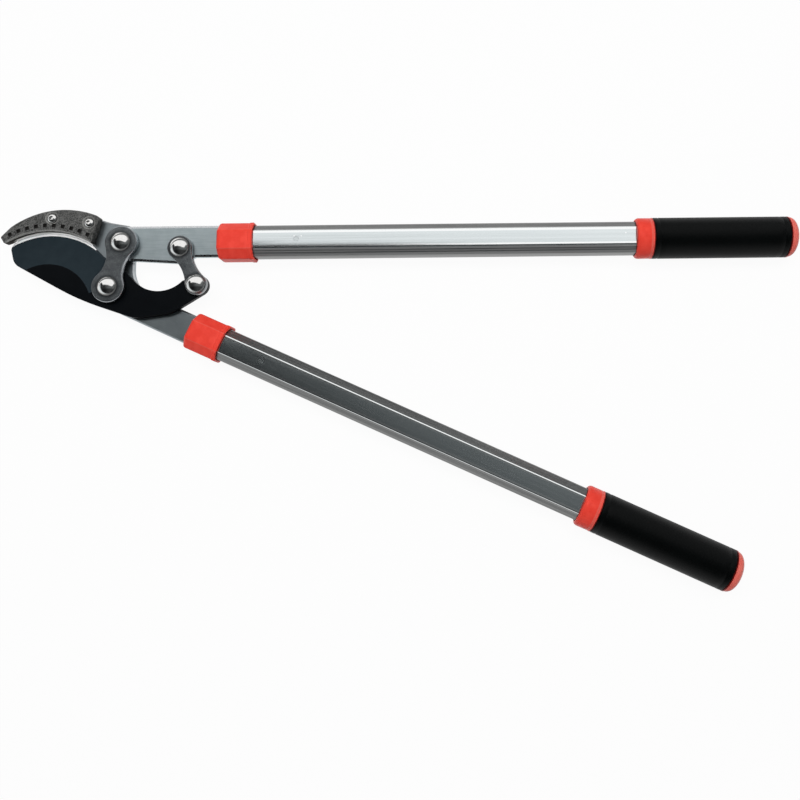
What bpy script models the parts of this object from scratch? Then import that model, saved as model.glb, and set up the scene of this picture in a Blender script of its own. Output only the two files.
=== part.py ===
"""Anvil lopper with compound leverage: two long handles, a curved blade that closes on a fixed anvil.

Metres. The tool lies on its back on the plane z = 0. X runs along the upper handle towards its grip,
Y points across the head towards the anvil, Z points up out of the side with the domed bolt heads.
The origin is under the main pivot. Everything is drawn closed, with the cutting edge at the anvil.
"""

import math

import bmesh
import bpy
from mathutils import Matrix, Vector

# Gaps
GAP = 0.0003  # between neighbouring pieces
SEAT_GAP = 0.0001  # between pieces screwed against each other
RUNNING_GAP = 0.0001  # round a bolt or bush, on the radius

# Pivots, seen from above
MAIN_PIVOT = Vector((0.0, 0.0))
BLADE_PIVOT = Vector((-0.0101, -0.0419))
TANG_LINK_PIVOT = Vector((0.0546, -0.0058))
BLADE_LINK_PIVOT = Vector((0.0709, -0.0406))

# Handles
HANDLE_ANGLE = math.radians(24.52)  # from the upper handle down to the lower one
LOWER_AXIS_OFFSET = 0.0050  # of the blade pivot above the lower handle's centre line
UPPER_FERRULE_START = 0.0897  # along the centre line from the main pivot
LOWER_FERRULE_START = 0.0872  # along the centre line from beside the blade pivot

# Tube section: eight-sided, wide flats above and below
TUBE_HALF_WIDTH = 0.0149
TUBE_HALF_THICKNESS = 0.0120
TUBE_FLAT_HALF = 0.0080
TUBE_SIDE_HALF = 0.0056
TUBE_WALL = 0.0018
TUBE_CORNER_RADIUS = 0.0012

# Ferrule
FERRULE_LENGTH = 0.0334
FERRULE_WALL = 0.0022
FERRULE_END_WALL = 0.0050
FERRULE_CORNER_RADIUS = 0.0040
FERRULE_END_ROUNDING = 0.0012

# Grip, measured from the start of the ferrule
GRIP_DIAMETER = 0.0380
COLLAR_START = 0.3875
COLLAR_LENGTH = 0.0165
COLLAR_ROUNDING = 0.0025
GRIP_LENGTH = 0.1240
GRIP_ROUNDING = 0.0006
CAP_LENGTH = 0.0108
CAP_RIM = 0.0020
CAP_GROOVE = 0.0006

# Heights
AXIS_HEIGHT = GRIP_DIAMETER / 2  # both grips lie on the table
PLATE = 0.0050  # blade, tangs and jaw plate
LINK = 0.0055
MIDDLE_BOTTOM = AXIS_HEIGHT - PLATE / 2
MIDDLE_TOP = AXIS_HEIGHT + PLATE / 2
JAW_TOP = MIDDLE_BOTTOM - GAP
JAW_BOTTOM = JAW_TOP - PLATE
LINK_BOTTOM = MIDDLE_TOP + GAP
LINK_TOP = LINK_BOTTOM + LINK
PLATE_ROUNDING = 0.0006

# Tangs
TANG_TOP = 0.0162  # upper edge from the centre line of the upper tang
TANG_BOTTOM = -0.0138
TANG_END_RADIUS = 0.0162
TANG_BOSS_RADIUS = 0.0140
TANG_BOSS_FILLET = 0.0060
JAW_TANG_TOP = 0.0136
JAW_TANG_BOTTOM = -0.0140
JAW_BACK_LOW = (0.0191, math.radians(2.4), 0.0280)  # from the blade pivot, angle, fillet
JAW_THROAT_HIGH = (0.0213, math.radians(127.4), 0.0300)
JAW_THROAT_LOW = (0.0233, math.radians(-153.5), 0.0120)
JAW_BACK_HIGH = (0.0149, math.radians(53.7), 0.0040)  # from the main pivot
JAW_SHOULDER = (0.0185, math.radians(79.1), 0.0050)
JAW_NECK = (0.0262, math.radians(124.9), 0.0200)
TONGUE_HALF_WIDTH = 0.0085
TONGUE_LENGTH = 0.0800
SHOULDER_DEPTH = 0.0040  # of the wide part of a tang inside the ferrule
TONGUE_FILLET = 0.0030

# Pins that hold the tongues in the tubes
PIN_FROM_FERRULE_START = 0.0736
PIN_RADIUS = 0.0022
PIN_ROUNDING = 0.0003

# Links
FRONT_LINK_RADIUS = 0.0150
FRONT_LINK_HALF_WAIST = 0.0087
REAR_LINK_TANG_RADIUS = 0.0114
REAR_LINK_BLADE_RADIUS = 0.0100
REAR_LINK_HALF_WAIST = 0.0065
LINK_ROUNDING = 0.0015

# Bolts, bushes and nuts
SHANK_RADIUS = 0.0040
HEAD_RADIUS = 0.0090
HEAD_HEIGHT = 0.0048
HEAD_RIM = 0.0008
BUSH_RADIUS = 0.0062
NUT_ACROSS_FLATS = 0.0130
NUT_FLANGE_RADIUS = 0.0090
NUT_FLANGE = 0.0012
NUT_HEX = 0.0048
NUT_COLLAR_RADIUS = 0.0056
NUT_COLLAR = 0.0020
BOLT_END_CHAMFER = 0.0006
SHORT_BOLT_PROTRUSION = 0.0022
LINKAGE_PLAY = 0.0019  # round the bolt in the blade's tail, where the linkage is opened

# Blade
JAW_CENTRE = Vector((-0.0690, -0.0613))  # of the arcs of the edge and the anvil
EDGE_RADIUS = 0.0727
EDGE_TIP_ANGLE = math.radians(119.0)
EDGE_HEEL_ANGLE = math.radians(60.0)
WINDOW_CENTRE = Vector((0.0343, -0.0150))  # of the hollow of the curved arm
WINDOW_RADIUS = 0.0307
TAIL_RADIUS = 0.0098
NOSE = (0.0047, math.radians(122.9), 0.0040)  # inside the edge's radius, angle about the jaw's centre, fillet
CHIN = (0.0185, math.radians(127.3), 0.0140)
HEEL = (0.0025, math.radians(44.6), 0.0600)
EYE = (0.0199, math.radians(45.0), 0.0400)  # from the blade pivot, angle, fillet
BELLY_FRONT = (0.0311, math.radians(-159.3), 0.2300)
BELLY_BACK = (0.0380, math.radians(-50.7), 0.0300)
ELBOW = (0.0351, math.radians(-131.8), 0.0300)  # from the pivot of the blade's tail
GRIND_RADIUS = 0.0419  # where the hollow grind starts
GRIND_END_ANGLE = math.radians(20)
GRIND_TIP_ANGLE = math.radians(165)
HONED_WIDTH = 0.0020
GROUND_THICKNESS = 0.0018  # where the honed edge starts
EDGE_THICKNESS = 0.0004
BLADE_BOSS_RADIUS = 0.0148  # left at full thickness round the blade pivot

# Anvil
ANVIL_BOTTOM = JAW_TOP + SEAT_GAP
ANVIL_THICKNESS = 0.0085
ANVIL_TOP = ANVIL_BOTTOM + ANVIL_THICKNESS
ANVIL_RADIUS = EDGE_RADIUS + GAP
ANVIL_FACE_TIP = math.radians(120.5)
ANVIL_FACE_END = math.radians(57.0)
ANVIL_DEPTH = 0.0200  # behind the working face, at the crest of the back
ANVIL_CREST_ANGLE = math.radians(88.2)
ANVIL_BACK_LEAN = math.radians(97.5)  # direction that the back faces at its crest
ANVIL_BACK_HALF = math.radians(29.5)  # half of the back's arc
ANVIL_BACK_RADIUS = 0.0813
ANVIL_END = (0.0246, math.radians(61.5), 0.0020)  # behind the working face, angle, fillet
ANVIL_TIP_HIGH = (0.0079, math.radians(123.2), 0.0015)
ANVIL_TIP_LOW = (0.0010, math.radians(123.3), 0.0010)
ANVIL_ROUNDING = 0.0010
CARRIER_INSET = 0.0015  # of the jaw plate inside the anvil's outline
CARRIER_TIP = (0.0054, math.radians(118.6), 0.0015)  # behind the working face, angle, fillet
CARRIER_HEEL = (0.0009, math.radians(54.6), 0.0100)
DIMPLES = 10
DIMPLE_DEPTH_BEHIND_FACE = 0.0053
DIMPLE_FIRST_ANGLE = math.radians(116.8)
DIMPLE_STEP = math.radians(6.1)
DIMPLE_SIDE = 0.0036
DIMPLE_DEPTH = 0.0016
SCREW_FRONT_BEHIND_FACE = 0.0124
SCREW_FRONT_ANGLE = math.radians(88.3)
SCREW_BACK_BEHIND_FACE = 0.0159
SCREW_BACK_ANGLE = math.radians(65.2)
SCREW_RADIUS = 0.0025
SCREW_HEAD_RADIUS = 0.0046
SCREW_HEAD_HEIGHT = 0.0028
SCREW_HEAD_SINK = 0.0016
SCREW_SOCKET_RADIUS = 0.0019
SCREW_SOCKET_DEPTH = 0.0014
SCREW_NUT_ACROSS_FLATS = 0.0080
SCREW_NUT = 0.0045
SCREW_PROTRUSION = 0.0010

NUT_ROUNDING = 0.0003
NUT_COLLAR_CHAMFER = 0.0006

# Cutters run past what they cut
CUTTER_OVERLAP = 0.0004
CUTTER_REACH = 0.0100

# Smoothness
ARC_STEP = math.radians(9)
ROUND_STEPS = 24


def clear_scene():
    """Take away whatever the scene starts with."""
    for obj in list(bpy.data.objects):
        bpy.data.objects.remove(obj)


def new_collection(name):
    """A collection linked to the scene."""
    made = bpy.data.collections.new(name)
    bpy.context.scene.collection.children.link(made)
    return made


clear_scene()
LOPPER = new_collection("anvil_lopper")
CUTTERS = new_collection("cutters")
CUTTERS.hide_render = True


# Placing


def link_object(name, data):
    """A new object in the lopper's collection."""
    obj = bpy.data.objects.new(name, data)
    LOPPER.objects.link(obj)
    return obj


def make_cutter(obj):
    """Move an object to the cutters and show it as wire."""
    for collection in list(obj.users_collection):
        collection.objects.unlink(obj)
    CUTTERS.objects.link(obj)
    obj.hide_render = True
    obj.display_type = "WIRE"
    return obj


def frame_empty(name, x, y, angle=0.0):
    """An empty on a joint axis or at a handle's start, which pieces are fixed to."""
    empty = link_object(name, None)
    empty.location = (x, y, 0)
    empty.rotation_euler = (0, 0, angle)
    empty.empty_display_size = 0.02
    bpy.context.view_layer.update()
    return empty


def fix_to(obj, empty):
    """Fix a piece that is drawn in world coordinates to an empty, where it stands."""
    obj.parent = empty
    obj.matrix_parent_inverse = empty.matrix_world.inverted()


def paint(obj, material):
    """Give an object one material."""
    obj.data.materials.clear()
    obj.data.materials.append(material)


def smooth(obj, degrees=35):
    """Shade the round faces of a mesh smooth and keep its edges."""
    obj.data.shade_smooth()
    obj.data.set_sharp_from_angle(angle=math.radians(degrees))


# Outlines


def on_arc(centre, radius, start, end):
    """Points along an arc, from one angle to the other."""
    count = max(2, math.ceil(abs(end - start) / ARC_STEP))
    angles = [start + (end - start) * i / count for i in range(count + 1)]
    return [centre + radius * Vector((math.cos(a), math.sin(a))) for a in angles]


def polar(centre, reach, angle):
    """A point at a distance and an angle from another."""
    return centre + reach * Vector((math.cos(angle), math.sin(angle)))


def corner_about(centre, corner):
    """An outline's corner, from its distance and angle about a centre and its fillet radius."""
    reach, angle, fillet = corner
    return (polar(centre, reach, angle), fillet)


def corner_in_blade(corner):
    """A corner given by how far it lies inside the cutting edge's arc."""
    inset, angle, fillet = corner
    return (polar(JAW_CENTRE, EDGE_RADIUS - inset, angle), fillet)


def corner_behind_face(corner):
    """A corner given by how far it lies behind the anvil's working face."""
    depth, angle, fillet = corner
    return (polar(JAW_CENTRE, ANVIL_RADIUS + depth, angle), fillet)


def screw_places():
    """The two anvil screws' places."""
    front = polar(JAW_CENTRE, ANVIL_RADIUS + SCREW_FRONT_BEHIND_FACE, SCREW_FRONT_ANGLE)
    back = polar(JAW_CENTRE, ANVIL_RADIUS + SCREW_BACK_BEHIND_FACE, SCREW_BACK_ANGLE)
    return front, back


def anvil_back(inset):
    """The long arc of the anvil's back, moved inwards by inset."""
    crest = polar(JAW_CENTRE, ANVIL_RADIUS + ANVIL_DEPTH, ANVIL_CREST_ANGLE)
    centre = polar(crest, -ANVIL_BACK_RADIUS, ANVIL_BACK_LEAN)
    first = ANVIL_BACK_LEAN - ANVIL_BACK_HALF
    last = ANVIL_BACK_LEAN + ANVIL_BACK_HALF
    return on_arc(centre, ANVIL_BACK_RADIUS - inset, first, last)


def rounded(corners):
    """Points of a closed outline, from corners given as (point, fillet radius)."""
    points = []
    for i, (corner, radius) in enumerate(corners):
        if radius == 0:
            points.append(corner)
            continue
        back = (corners[i - 1][0] - corner).normalized()
        ahead = (corners[(i + 1) % len(corners)][0] - corner).normalized()
        half = back.angle(ahead) / 2
        centre = corner + (back + ahead).normalized() * radius / math.sin(half)
        first = corner + back * radius / math.tan(half) - centre
        last = corner + ahead * radius / math.tan(half) - centre
        start = math.atan2(first.y, first.x)
        turn = math.remainder(math.atan2(last.y, last.x) - start, math.tau)
        points += on_arc(centre, radius, start, start + turn)
    return points


def circle(centre, radius):
    """Points of a full circle."""
    angles = [math.tau * i / ROUND_STEPS for i in range(ROUND_STEPS)]
    return [centre + radius * Vector((math.cos(a), math.sin(a))) for a in angles]


def tangent_angle(centre_a, radius_a, centre_b, radius_b, side):
    """Angle of the normal of a line that touches two circles; side is 1 to the left of a to b."""
    along = centre_b - centre_a
    lean = math.acos((radius_a - radius_b) / along.length)
    return math.atan2(along.y, along.x) + side * lean


def dog_bone(centre_a, radius_a, centre_b, radius_b, half_waist):
    """Outline of a link with two round heads and a hollow waist between them."""
    along = centre_b - centre_a
    length = along.length
    middle = (length**2 + radius_a**2 - radius_b**2) / (2 * length)
    lean = (radius_a - radius_b) / length
    linear = 2 * (middle * lean - (radius_a - half_waist))
    constant = middle**2 - radius_a**2 + half_waist**2
    hollow = 2 * constant / (-linear + math.sqrt(linear**2 - 4 * lean**2 * constant))
    direction = along.normalized()
    side = Vector((-direction.y, direction.x))
    points = []
    for sign, first, first_radius, last in (
        (1, centre_a, radius_a, centre_b),
        (-1, centre_b, radius_b, centre_a),
    ):
        centre = centre_a + direction * (middle + lean * hollow) + side * sign * (hollow + half_waist)
        from_first = centre - first
        from_last = centre - last
        start = math.atan2(-from_first.y, -from_first.x)
        turn = math.remainder(math.atan2(-from_last.y, -from_last.x) - start, math.tau)
        other = centre_a + direction * (middle + lean * hollow) - side * sign * (hollow + half_waist)
        head_start = math.atan2(other.y - first.y, other.x - first.x)
        head_end = math.atan2(from_first.y, from_first.x)
        head_turn = (head_end - head_start) % (-math.tau)
        points += on_arc(first, first_radius, head_start, head_start + head_turn)[:-1]
        points += on_arc(centre, hollow, start, start + turn)[:-1]
    return points


def octagon(grow):
    """Half-rounded eight-sided section of the tube, moved outwards by grow, as (across, height) points."""
    slope = math.atan2(TUBE_HALF_THICKNESS - TUBE_SIDE_HALF, TUBE_HALF_WIDTH - TUBE_FLAT_HALF)
    flat = TUBE_FLAT_HALF + grow * math.tan(slope / 2)
    side = TUBE_SIDE_HALF + grow * math.tan((math.pi / 2 - slope) / 2)
    wide = TUBE_HALF_WIDTH + grow
    thick = TUBE_HALF_THICKNESS + grow
    return [
        Vector(p)
        for p in (
            (flat, thick),
            (wide, side),
            (wide, -side),
            (flat, -thick),
            (-flat, -thick),
            (-wide, -side),
            (-wide, side),
            (-flat, thick),
        )
    ]


# Solids


def curve_plate(name, outlines, bottom, top, rounding=0.0, rounding_steps=0):
    """A flat plate as a filled 2D curve; the outlines after the first are holes."""
    curve = bpy.data.curves.new(name, "CURVE")
    curve.dimensions = "2D"
    curve.fill_mode = "BOTH"
    curve.extrude = (top - bottom) / 2 - rounding
    curve.bevel_depth = rounding
    curve.bevel_resolution = rounding_steps
    curve.offset = -rounding
    for outline in outlines:
        spline = curve.splines.new("POLY")
        spline.points.add(len(outline) - 1)
        for point, place in zip(spline.points, outline):
            point.co = (place.x, place.y, 0, 1)
        spline.use_cyclic_u = True
    obj = link_object(name, curve)
    obj.location.z = (top + bottom) / 2
    return obj


def as_mesh(obj):
    """Turn a curve object into a mesh object of the same name that stands in the same place."""
    name = obj.name
    graph = bpy.context.evaluated_depsgraph_get()
    mesh = bpy.data.meshes.new_from_object(obj.evaluated_get(graph))
    place = obj.matrix_world.copy()
    bpy.data.objects.remove(obj)
    work = bmesh.new()
    work.from_mesh(mesh)
    bmesh.ops.remove_doubles(work, verts=work.verts, dist=1e-6)
    bmesh.ops.recalc_face_normals(work, faces=work.faces)
    work.to_mesh(mesh)
    work.free()
    made = link_object(name, mesh)
    made.matrix_world = place
    return made


def solid_plate(name, outlines, bottom, top, rounding=0.0, rounding_steps=0):
    """A flat plate as a mesh, with its place written into the points."""
    obj = curve_plate(name, outlines, bottom, top, rounding, rounding_steps)
    bpy.context.view_layer.update()
    made = as_mesh(obj)
    made.data.transform(made.matrix_world)
    made.matrix_world = Matrix.Identity(4)
    return made


def turned(name, profile, steps=ROUND_STEPS, sweep=math.tau, start=0.0):
    """A body turned about Z from (radius, height) points, listed from the top to the bottom outside."""
    mesh = bpy.data.meshes.new(name)
    points = [(r * math.cos(start), r * math.sin(start), z) for r, z in profile]
    mesh.from_pydata(points, [(i, i + 1) for i in range(len(points) - 1)], [])
    obj = link_object(name, mesh)
    screw = obj.modifiers.new("turn", "SCREW")
    screw.angle = sweep
    screw.steps = steps
    screw.render_steps = steps
    screw.use_merge_vertices = True
    screw.merge_threshold = 0.00001
    return applied(obj)


def applied(obj):
    """Write an object's modifiers into its mesh."""
    graph = bpy.context.evaluated_depsgraph_get()
    mesh = bpy.data.meshes.new_from_object(obj.evaluated_get(graph))
    obj.modifiers.clear()
    obj.data = mesh
    return obj


def combine(obj, other, operation):
    """Cut another object out of this one, or join it on."""
    step = obj.modifiers.new(other.name, "BOOLEAN")
    step.operation = operation
    step.solver = "EXACT"
    step.object = other
    make_cutter(other)


def rod(name, centre, radius, bottom, top):
    """A round rod along Z."""
    return solid_plate(name, [circle(centre, radius)], bottom, top)


def along_handle(obj):
    """Turn a piece drawn along Z so that it runs along the handle: section (x, y) to (across, height)."""
    turn = Matrix(((0, 0, 1, 0), (1, 0, 0, 0), (0, 1, 0, 0), (0, 0, 0, 1)))
    obj.data.transform(Matrix.Translation((0, 0, AXIS_HEIGHT)) @ turn)
    return obj


# Materials


def material(name, colour, roughness, metallic):
    """A plain surface."""
    made = bpy.data.materials.new(name)
    made.use_nodes = True
    made.diffuse_color = (*colour, 1)
    shader = made.node_tree.nodes["Principled BSDF"]
    shader.inputs["Base Color"].default_value = (*colour, 1)
    shader.inputs["Roughness"].default_value = roughness
    shader.inputs["Metallic"].default_value = metallic
    return made


SATIN_STEEL = material("satin_steel", (0.33, 0.36, 0.38), 0.42, 1.0)
LINK_STEEL = material("link_steel", (0.13, 0.14, 0.15), 0.50, 0.8)
CAST_STEEL = material("cast_steel", (0.11, 0.11, 0.11), 0.70, 0.7)
COATED_BLADE = material("coated_blade", (0.012, 0.016, 0.020), 0.35, 0.3)
POLISHED_STEEL = material("polished_steel", (0.60, 0.60, 0.58), 0.12, 1.0)
PLAIN_STEEL = material("plain_steel", (0.40, 0.40, 0.40), 0.35, 1.0)
ALUMINIUM = material("aluminium", (0.62, 0.65, 0.66), 0.30, 1.0)
RED_PLASTIC = material("red_plastic", (0.72, 0.06, 0.04), 0.35, 0.0)
BLACK_GRIP = material("black_grip", (0.006, 0.008, 0.009), 0.45, 0.0)


# Head


def lower_point(along, across):
    """A point beside the lower handle's centre line, from beside the blade pivot."""
    direction = Vector((math.cos(HANDLE_ANGLE), -math.sin(HANDLE_ANGLE)))
    side = Vector((math.sin(HANDLE_ANGLE), math.cos(HANDLE_ANGLE)))
    return BLADE_PIVOT + direction * along + side * (across - LOWER_AXIS_OFFSET)


def tongue(start, top, bottom):
    """Shoulders and tongue of a tang, from the lower edge round to the upper one, as corners."""
    shoulder = start + SHOULDER_DEPTH
    end = start + FERRULE_END_WALL + TONGUE_LENGTH
    return [
        ((shoulder, bottom), 0),
        ((shoulder, -TONGUE_HALF_WIDTH), 0),
        ((end, -TONGUE_HALF_WIDTH), TONGUE_FILLET),
        ((end, TONGUE_HALF_WIDTH), TONGUE_FILLET),
        ((shoulder, TONGUE_HALF_WIDTH), 0),
        ((shoulder, top), 0),
    ]


def jaw_outline():
    """The jaw plate: tang, the two pivots and the hooked arm behind the anvil."""
    start = LOWER_FERRULE_START
    corners = [
        (lower_point(*place), radius)
        for place, radius in tongue(start, JAW_TANG_TOP, JAW_TANG_BOTTOM)
    ]
    corners.append(corner_about(BLADE_PIVOT, JAW_BACK_LOW))
    corners += [corner_about(MAIN_PIVOT, c) for c in (JAW_BACK_HIGH, JAW_SHOULDER, JAW_NECK)]
    corners += [(p, 0) for p in anvil_back(CARRIER_INSET)]
    corners.append(corner_behind_face(CARRIER_TIP))
    face = on_arc(JAW_CENTRE, ANVIL_RADIUS + CARRIER_INSET, EDGE_TIP_ANGLE, EDGE_HEEL_ANGLE)
    corners += [(p, 0) for p in face[1:-1]]
    corners.append(corner_behind_face(CARRIER_HEEL))
    corners += [corner_about(BLADE_PIVOT, c) for c in (JAW_THROAT_HIGH, JAW_THROAT_LOW)]
    return rounded(corners)


def build_jaw_plate():
    """Steel plate of the lower handle: it carries the anvil and both fixed pivots."""
    pin = lower_point(LOWER_FERRULE_START + PIN_FROM_FERRULE_START, 0)
    holes = [circle(p, SHANK_RADIUS + RUNNING_GAP) for p in (MAIN_PIVOT, BLADE_PIVOT)]
    holes += [circle(p, SCREW_RADIUS + RUNNING_GAP) for p in screw_places()]
    holes.append(circle(pin, PIN_RADIUS + RUNNING_GAP))
    plate = solid_plate(
        "jaw_plate", [jaw_outline()] + holes, JAW_BOTTOM, JAW_TOP, PLATE_ROUNDING
    )
    paint(plate, SATIN_STEEL)
    return plate


def build_upper_tang():
    """Steel plate of the upper handle, from the ferrule to the main pivot."""
    start_angle = math.pi / 2
    low_angle = tangent_angle(
        MAIN_PIVOT, TANG_END_RADIUS, TANG_LINK_PIVOT, TANG_BOSS_RADIUS, -1
    )
    drop = math.asin((TANG_BOTTOM - TANG_LINK_PIVOT.y - TANG_BOSS_FILLET) / (TANG_BOSS_RADIUS + TANG_BOSS_FILLET))
    fillet_centre = TANG_LINK_PIVOT + (TANG_BOSS_RADIUS + TANG_BOSS_FILLET) * Vector(
        (math.cos(drop), math.sin(drop))
    )
    outline = on_arc(MAIN_PIVOT, TANG_END_RADIUS, start_angle, low_angle + math.tau)
    outline += on_arc(TANG_LINK_PIVOT, TANG_BOSS_RADIUS, low_angle, drop)
    outline += on_arc(fillet_centre, TANG_BOSS_FILLET, drop + math.pi, math.pi / 2)[1:]
    corners = [(Vector(p), r) for p, r in tongue(UPPER_FERRULE_START, TANG_TOP, TANG_BOTTOM)]
    outline += rounded(corners)
    pin = Vector((UPPER_FERRULE_START + PIN_FROM_FERRULE_START, 0))
    holes = [
        circle(MAIN_PIVOT, BUSH_RADIUS + RUNNING_GAP),
        circle(TANG_LINK_PIVOT, SHANK_RADIUS + RUNNING_GAP),
        circle(pin, PIN_RADIUS + RUNNING_GAP),
    ]
    plate = solid_plate(
        "upper_tang", [outline] + holes, MIDDLE_BOTTOM, MIDDLE_TOP, PLATE_ROUNDING
    )
    paint(plate, SATIN_STEEL)
    return plate


def blade_outline():
    """The blade: cutting arc, heel, curved arm, round tail and back."""
    tail_top = math.radians(130)
    elbow = corner_about(BLADE_LINK_PIVOT, ELBOW)
    low_angle = tangent_angle(BLADE_LINK_PIVOT, TAIL_RADIUS, elbow[0], 0.0, 1)
    edge = on_arc(JAW_CENTRE, EDGE_RADIUS, EDGE_TIP_ANGLE, EDGE_HEEL_ANGLE)
    inner = [corner_in_blade(HEEL), corner_about(BLADE_PIVOT, EYE)]
    hollow = on_arc(WINDOW_CENTRE, WINDOW_RADIUS, math.radians(-140), math.radians(-44))
    tail = on_arc(BLADE_LINK_PIVOT, TAIL_RADIUS, tail_top, low_angle)
    back = [elbow, corner_about(BLADE_PIVOT, BELLY_BACK), corner_about(BLADE_PIVOT, BELLY_FRONT)]
    back += [corner_in_blade(CHIN), corner_in_blade(NOSE)]
    corners = [(p, 0) for p in edge] + inner + [(p, 0) for p in hollow + tail] + back
    return rounded(corners)


def build_blade():
    """Coated steel blade with one hollow-ground side, a honed edge and a tail for the link."""
    holes = [
        circle(BLADE_PIVOT, BUSH_RADIUS + RUNNING_GAP),
        circle(BLADE_LINK_PIVOT, SHANK_RADIUS + LINKAGE_PLAY),
    ]
    blade = solid_plate("blade", [blade_outline()] + holes, MIDDLE_BOTTOM, MIDDLE_TOP)
    honed_radius = EDGE_RADIUS - HONED_WIDTH
    ground = MIDDLE_BOTTOM + GROUND_THICKNESS
    honed = MIDDLE_BOTTOM + EDGE_THICKNESS
    slope = (MIDDLE_TOP - ground) / (honed_radius - GRIND_RADIUS)
    over = MIDDLE_TOP + CUTTER_REACH
    profile = [
        (GRIND_RADIUS - CUTTER_REACH, over),
        (EDGE_RADIUS + CUTTER_REACH, over),
        (EDGE_RADIUS + CUTTER_REACH, honed),
        (EDGE_RADIUS, honed),
        (honed_radius, ground),
        (GRIND_RADIUS - CUTTER_REACH, MIDDLE_TOP + slope * CUTTER_REACH),
    ]
    grind = wedge("grind_cutter", profile)
    boss = rod("boss_keeper", BLADE_PIVOT, BLADE_BOSS_RADIUS, MIDDLE_BOTTOM, over + CUTTER_REACH)
    combine(grind, boss, "DIFFERENCE")
    combine(blade, grind, "DIFFERENCE")
    applied(blade)
    smooth(blade)
    paint(blade, COATED_BLADE)
    return blade


def wedge(name, profile):
    """A closed ring section about the jaw's centre, from (radius, height) points."""
    count = math.ceil((GRIND_TIP_ANGLE - GRIND_END_ANGLE) / ARC_STEP) * 2
    work = bmesh.new()
    rings = []
    for i in range(count + 1):
        angle = GRIND_END_ANGLE + (GRIND_TIP_ANGLE - GRIND_END_ANGLE) * i / count
        out = Vector((math.cos(angle), math.sin(angle)))
        ring = [
            work.verts.new((*(JAW_CENTRE + out * radius), height))
            for radius, height in profile
        ]
        rings.append(ring)
    for ring, following in zip(rings, rings[1:]):
        for i in range(len(ring)):
            j = (i + 1) % len(ring)
            work.faces.new((ring[i], ring[j], following[j], following[i]))
    work.faces.new(rings[0])
    work.faces.new(rings[-1])
    bmesh.ops.recalc_face_normals(work, faces=work.faces)
    mesh = bpy.data.meshes.new(name)
    work.to_mesh(mesh)
    work.free()
    return link_object(name, mesh)


def build_front_link():
    """Thick dog-bone cheek over the main pivot and the blade pivot."""
    outline = dog_bone(
        MAIN_PIVOT, FRONT_LINK_RADIUS, BLADE_PIVOT, FRONT_LINK_RADIUS, FRONT_LINK_HALF_WAIST
    )
    holes = [circle(p, SHANK_RADIUS + RUNNING_GAP) for p in (MAIN_PIVOT, BLADE_PIVOT)]
    link = solid_plate(
        "front_link", [outline] + holes, LINK_BOTTOM, LINK_TOP, LINK_ROUNDING, 1
    )
    paint(link, LINK_STEEL)
    smooth(link)
    return link


def build_rear_link():
    """Smaller dog-bone link from the upper tang to the blade's tail."""
    outline = dog_bone(
        TANG_LINK_PIVOT,
        REAR_LINK_TANG_RADIUS,
        BLADE_LINK_PIVOT,
        REAR_LINK_BLADE_RADIUS,
        REAR_LINK_HALF_WAIST,
    )
    holes = [
        circle(p, SHANK_RADIUS + RUNNING_GAP) for p in (TANG_LINK_PIVOT, BLADE_LINK_PIVOT)
    ]
    link = solid_plate(
        "rear_link", [outline] + holes, LINK_BOTTOM, LINK_TOP, LINK_ROUNDING, 1
    )
    paint(link, LINK_STEEL)
    smooth(link)
    return link


# Anvil


def anvil_outline():
    """The anvil from above: hollow working face, square end, long curved back and blunt tip."""
    face = on_arc(JAW_CENTRE, ANVIL_RADIUS, ANVIL_FACE_TIP, ANVIL_FACE_END)
    corners = [(p, 0) for p in face]
    corners.append(corner_behind_face(ANVIL_END))
    corners += [(p, 0) for p in anvil_back(0)]
    corners += [corner_behind_face(ANVIL_TIP_HIGH), corner_behind_face(ANVIL_TIP_LOW)]
    return rounded(corners)


def dimple_cutter(angle):
    """One square pocket in the front of the anvil, turned to face the arc's centre."""
    mesh = bpy.data.meshes.new("dimple_cutter")
    work = bmesh.new()
    out = Vector((math.cos(angle), math.sin(angle)))
    place = JAW_CENTRE + out * (ANVIL_RADIUS + DIMPLE_DEPTH_BEHIND_FACE)
    at = Matrix.Translation((*place, ANVIL_TOP)) @ Matrix.Rotation(angle, 4, "Z")
    size = Matrix.Diagonal((DIMPLE_SIDE, DIMPLE_SIDE, 2 * DIMPLE_DEPTH, 1))
    bmesh.ops.create_cube(work, size=1, matrix=at @ size)
    work.to_mesh(mesh)
    work.free()
    return link_object("dimple_cutter", mesh)


def build_anvil():
    """Cast block with a row of square dimples along its working face, on two screws."""
    holes = [circle(p, SCREW_RADIUS + RUNNING_GAP) for p in screw_places()]
    anvil = solid_plate(
        "anvil", [anvil_outline()] + holes, ANVIL_BOTTOM, ANVIL_TOP, ANVIL_ROUNDING
    )
    for i in range(DIMPLES):
        cutter = dimple_cutter(DIMPLE_FIRST_ANGLE - i * DIMPLE_STEP)
        combine(anvil, cutter, "DIFFERENCE")
    for centre in screw_places():
        seat = rod(
            "screw_seat",
            centre,
            SCREW_HEAD_RADIUS + GAP,
            ANVIL_TOP - SCREW_HEAD_SINK - SEAT_GAP,
            ANVIL_TOP + SCREW_HEAD_SINK,
        )
        combine(anvil, seat, "DIFFERENCE")
    applied(anvil)
    smooth(anvil)
    paint(anvil, CAST_STEEL)
    return anvil


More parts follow.
